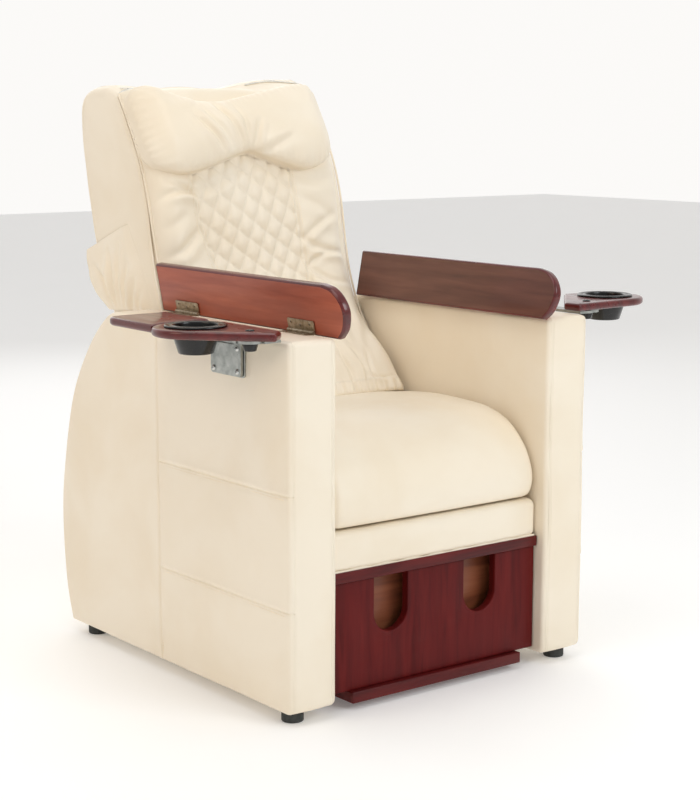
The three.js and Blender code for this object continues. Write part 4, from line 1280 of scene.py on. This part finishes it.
def make_boards():
    """The flip boards, standing open: a rounded nose in front, their outward faces in a lighter orange tone
    that is painted light from the side, and their top faces in a browner tone.
    """
    b = BOARD
    inner, width, rear = b["from"], b["width"], b["rear"]
    nose = spline([(inner, -2), (inner + 19, -20), (42, -28), (66, -18), (82, 2), (width, 28)], 40)
    long_edge = spline([(width, 28), (width, 300), (width, rear - 4)], 30)[1:-1]
    outline = np.vstack([nose, long_edge, arc((width - 4, rear - 4), 4, 0, 90, 6),
                         arc((inner + 3, rear - 3), 3, 90, 180, 5)])
    shape = opened(rounded_plate(outline, b["gap"], b["gap"] + b["thick"], 5.2, steps=8))
    body = "{side}_flip_board"
    boards = pair("flip_armrest_board", shape, CHERRY_Y, body, [body], 40)
    turn = math.radians(b["open"])
    for obj in boards:
        out = 1 if obj.name.startswith("left") else -1
        under = Vector((out * math.sin(turn), 0, -math.cos(turn)))
        obj.data.materials.append(CHERRY_UNDER_PAINTED_LIGHT)
        obj.data.materials.append(CHERRY_TOP)
        for face in obj.data.polygons:
            facing = face.normal.dot(under)
            # Outward faces take the lighter tone, painted light from the side; upward faces take the browner
            # tone.
            face.material_index = 1 if facing > 0.97 else 2 if facing < -0.97 else 0


def screw(u, y, level, up, radius=3.3):
    """A raised countersunk head and, apart from it, the cross sunk in it, drawn dark as painted shade in the
    recess.
    """
    head = [(0, -0.4), (radius - 0.5, -0.4), (radius, 0), (radius - 0.3, 0.35), (radius * 0.6, 0.8),
            (0.9, 0.95), (0, 0.96)]
    cross = [box_shape(-2, 2, -0.45, 0.45, 0.2, 1.02, 0.1), box_shape(-0.45, 0.45, -2, 2, 0.2, 1.02, 0.1)]
    shapes = [lathe(head, 28), gather(cross)]
    if up < 0:
        shapes = [Shape(s.points * [1, -1, -1], s.faces, s.flat) for s in shapes]
    return [s.moved(u, y, level) for s in shapes]


def barrel(first, last, radius):
    """A round bar along Y with eased ends."""
    ease_in = 0.5
    profile = [(0, first), (radius - ease_in, first), (radius, first + ease_in), (radius, last - ease_in),
               (radius - ease_in, last), (0, last)]
    turned = lathe(profile, 28)
    return Shape(turned.points[:, [0, 2, 1]], [f[::-1] for f in turned.faces])


def hinge_leaf(centre, moving):
    """One leaf with its knuckles and screws, and apart from it the screws' crosses, which carry painted
    shade.
    """
    h = HINGE
    first, share = centre - h["width"] / 2, h["width"] / 5
    level = h["knuckle"] - h["leaf"] - 0.3 if moving else -h["knuckle"] + 0.35
    outline = rectangle(2.6, h["length"], first, first + h["width"], 2.6, 5)
    parts, marks = [rounded_plate(outline, level, level + h["leaf"], 0.5, steps=4)], []
    for i in range(1 if moving else 0, 5, 2):
        parts.append(barrel(first + share * i + 0.4, first + share * (i + 1) - 0.4, h["knuckle"]))
    if not moving:
        parts.append(barrel(first - 1.2, first + h["width"] + 1.2, 1.9))
    for i, t in enumerate((0.14, 0.5, 0.86)):
        u = h["length"] - (10 if i == 1 else 6)
        up = -1 if moving else 1
        head, cross = screw(u, first + h["width"] * t, level + (0 if moving else h["leaf"]), up)
        parts.append(head)
        marks.append(cross)
    return gather(parts), gather(marks)


def make_hinges():
    """Two butt hinges on each board, one leaf on the arm and one under the board."""
    for place, centre in zip(("front", "rear"), HINGE["centres"]):
        for moving, set_up, body, kind in ((False, laid, "chair_base", "arm"),
                                           (True, opened, "{side}_flip_board", "board")):
            leaf, marks = hinge_leaf(centre, moving)
            node = "{side}_%s_hinge_%s_leaf" % (place, kind)
            pair(f"{place}_hinge_{kind}_plate", set_up(leaf), BRONZE, body, [node], 35)
            # The screws' crosses in matt black: painted shade in their recesses.
            pair(f"{place}_hinge_{kind}_screw_slots", set_up(marks), MATT_BLACK_AND_RECESS_SHADE, body, (), 35)


make_boards()
make_hinges()


# ------------------------------------------------------------------ side trays
def soften(corners, count=7):
    """A closed outline through [a, b, radius] corners, each rounded by its radius."""
    points = []
    spots = [np.array(c[:2], float) for c in corners]
    for i, (at, corner) in enumerate(zip(spots, corners)):
        radius = corner[2] if len(corner) > 2 else 0
        if not radius:
            points.append(at)
            continue
        back = spots[i - 1] - at
        ahead = spots[(i + 1) % len(spots)] - at
        back, ahead = back / np.linalg.norm(back), ahead / np.linalg.norm(ahead)
        half = math.acos(np.clip(back @ ahead, -1, 1)) / 2
        reach = radius / math.tan(half)
        start, end = at + back * reach, at + ahead * reach
        for t in np.linspace(0, 1, count):
            points.append((1 - t) ** 2 * start + 2 * t * (1 - t) * at + t * t * end)
    return points


def swung(shape, side):
    """Places a tray part drawn round its pivot: the left tray is swung out, the right one lies back."""
    turn = -math.radians(TRAY["swing"]) if side == "left" else 0
    x, y, z = shape.points.T
    points = np.stack([x * math.cos(turn) - y * math.sin(turn) + TRAY["x"],
                       x * math.sin(turn) + y * math.cos(turn) + TRAY["y"], z], 1)
    made = Shape(points, shape.faces, shape.flat)
    return made if side == "left" else made.mirrored()


def tray_outline():
    """The tray round its pivot: a round lobe about the cup hole and a straight diagonal edge to the tip."""
    t = TRAY
    along = math.radians(t["diagonal"])
    u = np.array([math.cos(along), math.sin(along)])
    v = np.array([u[1], -u[0]])
    cup = np.array(t["cup"], float)
    edge_end = cup + v * t["lobe"]
    tip = edge_end - u * t["edge"]
    inner = SHELF["inner"] - t["x"]
    blunt = tip[1] + (inner - tip[0]) * v[1] / v[0]
    lobe = [(a, b, 0) for a, b in arc(cup, t["lobe"], t["diagonal"] - 90, 140.4, 60)]
    return soften([(*tip, 5)] + lobe + [(inner, cup[1] + 30, 8), (inner, blunt, 9)])


# The cup holder's section as (radius, height above the tray): outside up to the rolled flange, inside down.
CUP_PROFILE = [(0, -47), (27, -47), (29.6, -46.4), (31, -45), (40.2, -15), (41, -4), (41, 0.4), (53.4, 0.4),
               (54.7, 0.9), (55, 1.9), (54.6, 3.1), (53.4, 3.9), (51.2, 4.1), (48.8, 3.7), (47, 2.7),
               (45.2, 2.4), (43.6, 2.8), (42.4, 3.7), (41, 4.1), (39.6, 3.8), (38.7, 2.8), (38.4, 0.6),
               (37.6, -15), (30, -43), (28.6, -44.2), (0, -44.6)]


def make_trays():
    """Both cup trays, each with its cup holder and the knob that it turns on."""
    t = TRAY
    top, under = t["top"], t["top"] - t["thick"]
    hole = arc(t["cup"], t["hole"], 0, 360, 65)[:-1]
    plate = rounded_plate(tray_outline(), under, top, 5.6, [hole], steps=7)
    cup = lathe(CUP_PROFILE, 96, (*t["cup"], top))
    grip = [(0, -19.5), (9, -19.5), (10.2, -19), (10.8, -17.6), (13.1, -8.4), (12.9, -7), (12, -6.4),
            (5, -6.2)]
    button = [(5, 0.3), (8, 0.35), (7.6, 1.4), (6, 2.3), (0, 2.7)]
    shaft = lathe([(r, under + z) for r, z in grip] + [(r, top + z) for r, z in button], 48)
    around = np.arctan2(shaft.points[:, 1], shaft.points[:, 0])
    radius = np.hypot(shaft.points[:, 0], shaft.points[:, 1])
    ribs = 1 + 0.03 * np.cos(10 * around) * smoothstep(radius, 8.5, 10.5)
    shaft = Shape(shaft.points * np.stack([ribs, ribs, np.ones_like(ribs)], 1), shaft.faces)
    for side in ("left", "right"):
        body = f"{side}_tray"
        for name, shape, material, node, slot, crease in (
                ("tray_board", plate, CHERRY_Y, "cup_tray", "cherry_wood", 40),
                ("cup_well", cup, BLACK, "cup_holder", "black_plastic", 50),
                ("swivel_knob", shaft, BLACK, "pivot_knob", "black_plastic", 40)):
            piece(f"{side}_{name}", swung(shape, side), material, body, [f"{side}_{node}"], crease)


def make_shelves():
    """The fixed shelf behind each tray, hollowed so that the tray's lobe swings clear."""
    s, t = SHELF, TRAY
    start = math.degrees(math.acos((s["inner"] - t["x"]) / s["clear"]))
    end = math.degrees(math.acos((s["outer"] - t["x"]) / s["clear"]))
    hollow = [(a, b, 0) for a, b in arc((t["x"], t["y"]), s["clear"], start, end, 24)]
    corner = soften([(s["outer"], s["rear"], 34), (s["inner"], s["rear"], 3), *hollow], 12)
    shape = rounded_plate(corner, t["top"] - t["thick"], t["top"], 5.6, steps=7)
    pair("shelf_board", shape, CHERRY_Y, "chair_base", ["{side}_side_shelf"], 40)


def make_brackets():
    """A pressed steel wall bracket: a back plate, a raised front plate with a slit, and four screws."""
    b = BRACKET
    x = ARM["outer"] + 0.4
    front, rear, low, high = b["front"], b["rear"], b["bottom"], b["top"]
    base = rounded_plate(rectangle(front, rear, low, high, 7, 4), x, x + 4.6, 0.9, steps=4)
    slit = rectangle(front + 22, rear - 22, high - 14.5, high - 11.5, 1.2, 4)
    outline = rectangle(front + 2, rear - 2, low + 2, high - 1, 6, 4)
    face = rounded_plate(outline, x + 5.4, x + b["thick"], 1.2, [slit], steps=5)
    rim = rounded_plate(rectangle(front + 5, rear - 5, low + 5, high - 4, 2), x + 4.2, x + 6, 0.4, steps=3)
    pair("bracket_plates", standing(gather([base, rim, face]), "wab"), STEEL, "chair_base",
         ["{side}_tray_bracket"], 35)
    dome = [(0, -0.5), (5.2, -0.5), (5.6, 0.1), (5.2, 1.2), (4, 2.4), (2.2, 3.2), (0, 3.5)]
    bars = ((2.4, 0.55), (0.55, 2.4))
    # The crosses in the screw heads, in matt black: painted shade in their recesses.
    cross = [box_shape(-wide, wide, -tall, tall, 1.5, 3.45, 0.15) for wide, tall in bars]
    spots = [(y, z, x + b["thick"]) for y in (front + 12, rear - 12) for z in (low + 11, high - 21)]
    for name, shape, material in (("bracket_screws", lathe(dome, 32), BRIGHT),
                                  ("bracket_screw_slots", gather(cross), MATT_BLACK_AND_RECESS_SHADE)):
        four = standing(gather([shape.moved(*spot) for spot in spots]), "wab")
        pair(name, four, material, "chair_base", (), 40)


make_trays()
make_shelves()
make_brackets()


# ------------------------------------------------------------------ camera, light and floor
def make_camera():
    """The camera, in front of the chair and to its right, at the height of the pillow."""
    data = bpy.data.cameras.new("camera")
    data.lens = CAMERA["lens"]
    data.sensor_width = 36
    data.clip_end = 60
    camera = bpy.data.objects.new("camera", data)
    bpy.context.scene.collection.objects.link(camera)
    camera.location = CAMERA["place"]
    camera.rotation_euler = [math.radians(turn) for turn in CAMERA["turn"]]
    bpy.context.scene.camera = camera


def soft_light(name, place, aim, size, power, tint=(1, 1, 1)):
    """A square area light at a place, turned towards an aim."""
    data = bpy.data.lights.new(name, "AREA")
    data.size = size
    data.energy = power
    data.color = tint
    light = bpy.data.objects.new(name, data)
    light.location = place
    light.rotation_euler = (Vector(aim) - Vector(place)).to_track_quat("-Z", "Y").to_euler()
    bpy.context.scene.collection.objects.link(light)


def make_studio():
    """Four soft lights, a surrounding glow that is brighter behind the chair, and a pale floor."""
    soft_light("key", (0.9, -3.6, 2.5), (0, 0, 0.5), 1.8, 50, (0.93, 0.98, 1))
    soft_light("side", (-3.4, -0.2, 2.6), (0, 0, 0.5), 1.8, 23, (1, 0.84, 0.66))
    soft_light("top", (-0.9, -0.6, 3.6), (0, 0, 0.4), 1.8, 24)
    soft_light("rear", (1.6, 3.4, 2.4), (0, 0, 0.6), 2.6, 22)
    glow = (1, 0.985, 0.965, 1)
    world = bpy.data.worlds.new("studio")
    world.use_nodes = True
    tree = world.node_tree
    direction = tree.nodes.new("ShaderNodeTexCoord")
    ahead = tree.nodes.new("ShaderNodeVectorMath")
    ahead.operation = "DOT_PRODUCT"
    ahead.inputs[1].default_value = (0.61, 0.79, 0)
    spread = tree.nodes.new("ShaderNodeMapRange")
    for name, value in (("From Min", -0.1), ("From Max", 0.7), ("To Min", 0.47), ("To Max", 0.97)):
        spread.inputs[name].default_value = value
    shade = tree.nodes["Background"]
    tree.links.new(direction.outputs["Generated"], ahead.inputs[0])
    tree.links.new(ahead.outputs["Value"], spread.inputs["Value"])
    tree.links.new(spread.outputs["Result"], shade.inputs["Strength"])
    shade.inputs["Color"].default_value = glow
    bpy.context.scene.world = world
    bpy.context.scene.view_settings.view_transform = "Standard"
    floor_paint = Finish("pale_floor", (0.92, 0.92, 0.92), 0.65, Emission_Color=glow, Emission_Strength=0.13)
    floor_paint.roughness(floor_paint.noise(3), 0.6, 0.75)
    mesh = bpy.data.meshes.new("floor")
    reach = 14
    corners = [(*corner, 0) for corner in rectangle(-reach, reach, -reach, reach)]
    mesh.from_pydata(corners, [], [(0, 1, 2, 3)])
    mesh.materials.append(floor_paint.material)
    floor = bpy.data.objects.new("floor", mesh)
    bpy.context.scene.collection.objects.link(floor)


make_camera()
make_studio()
bpy.context.view_layer.update()
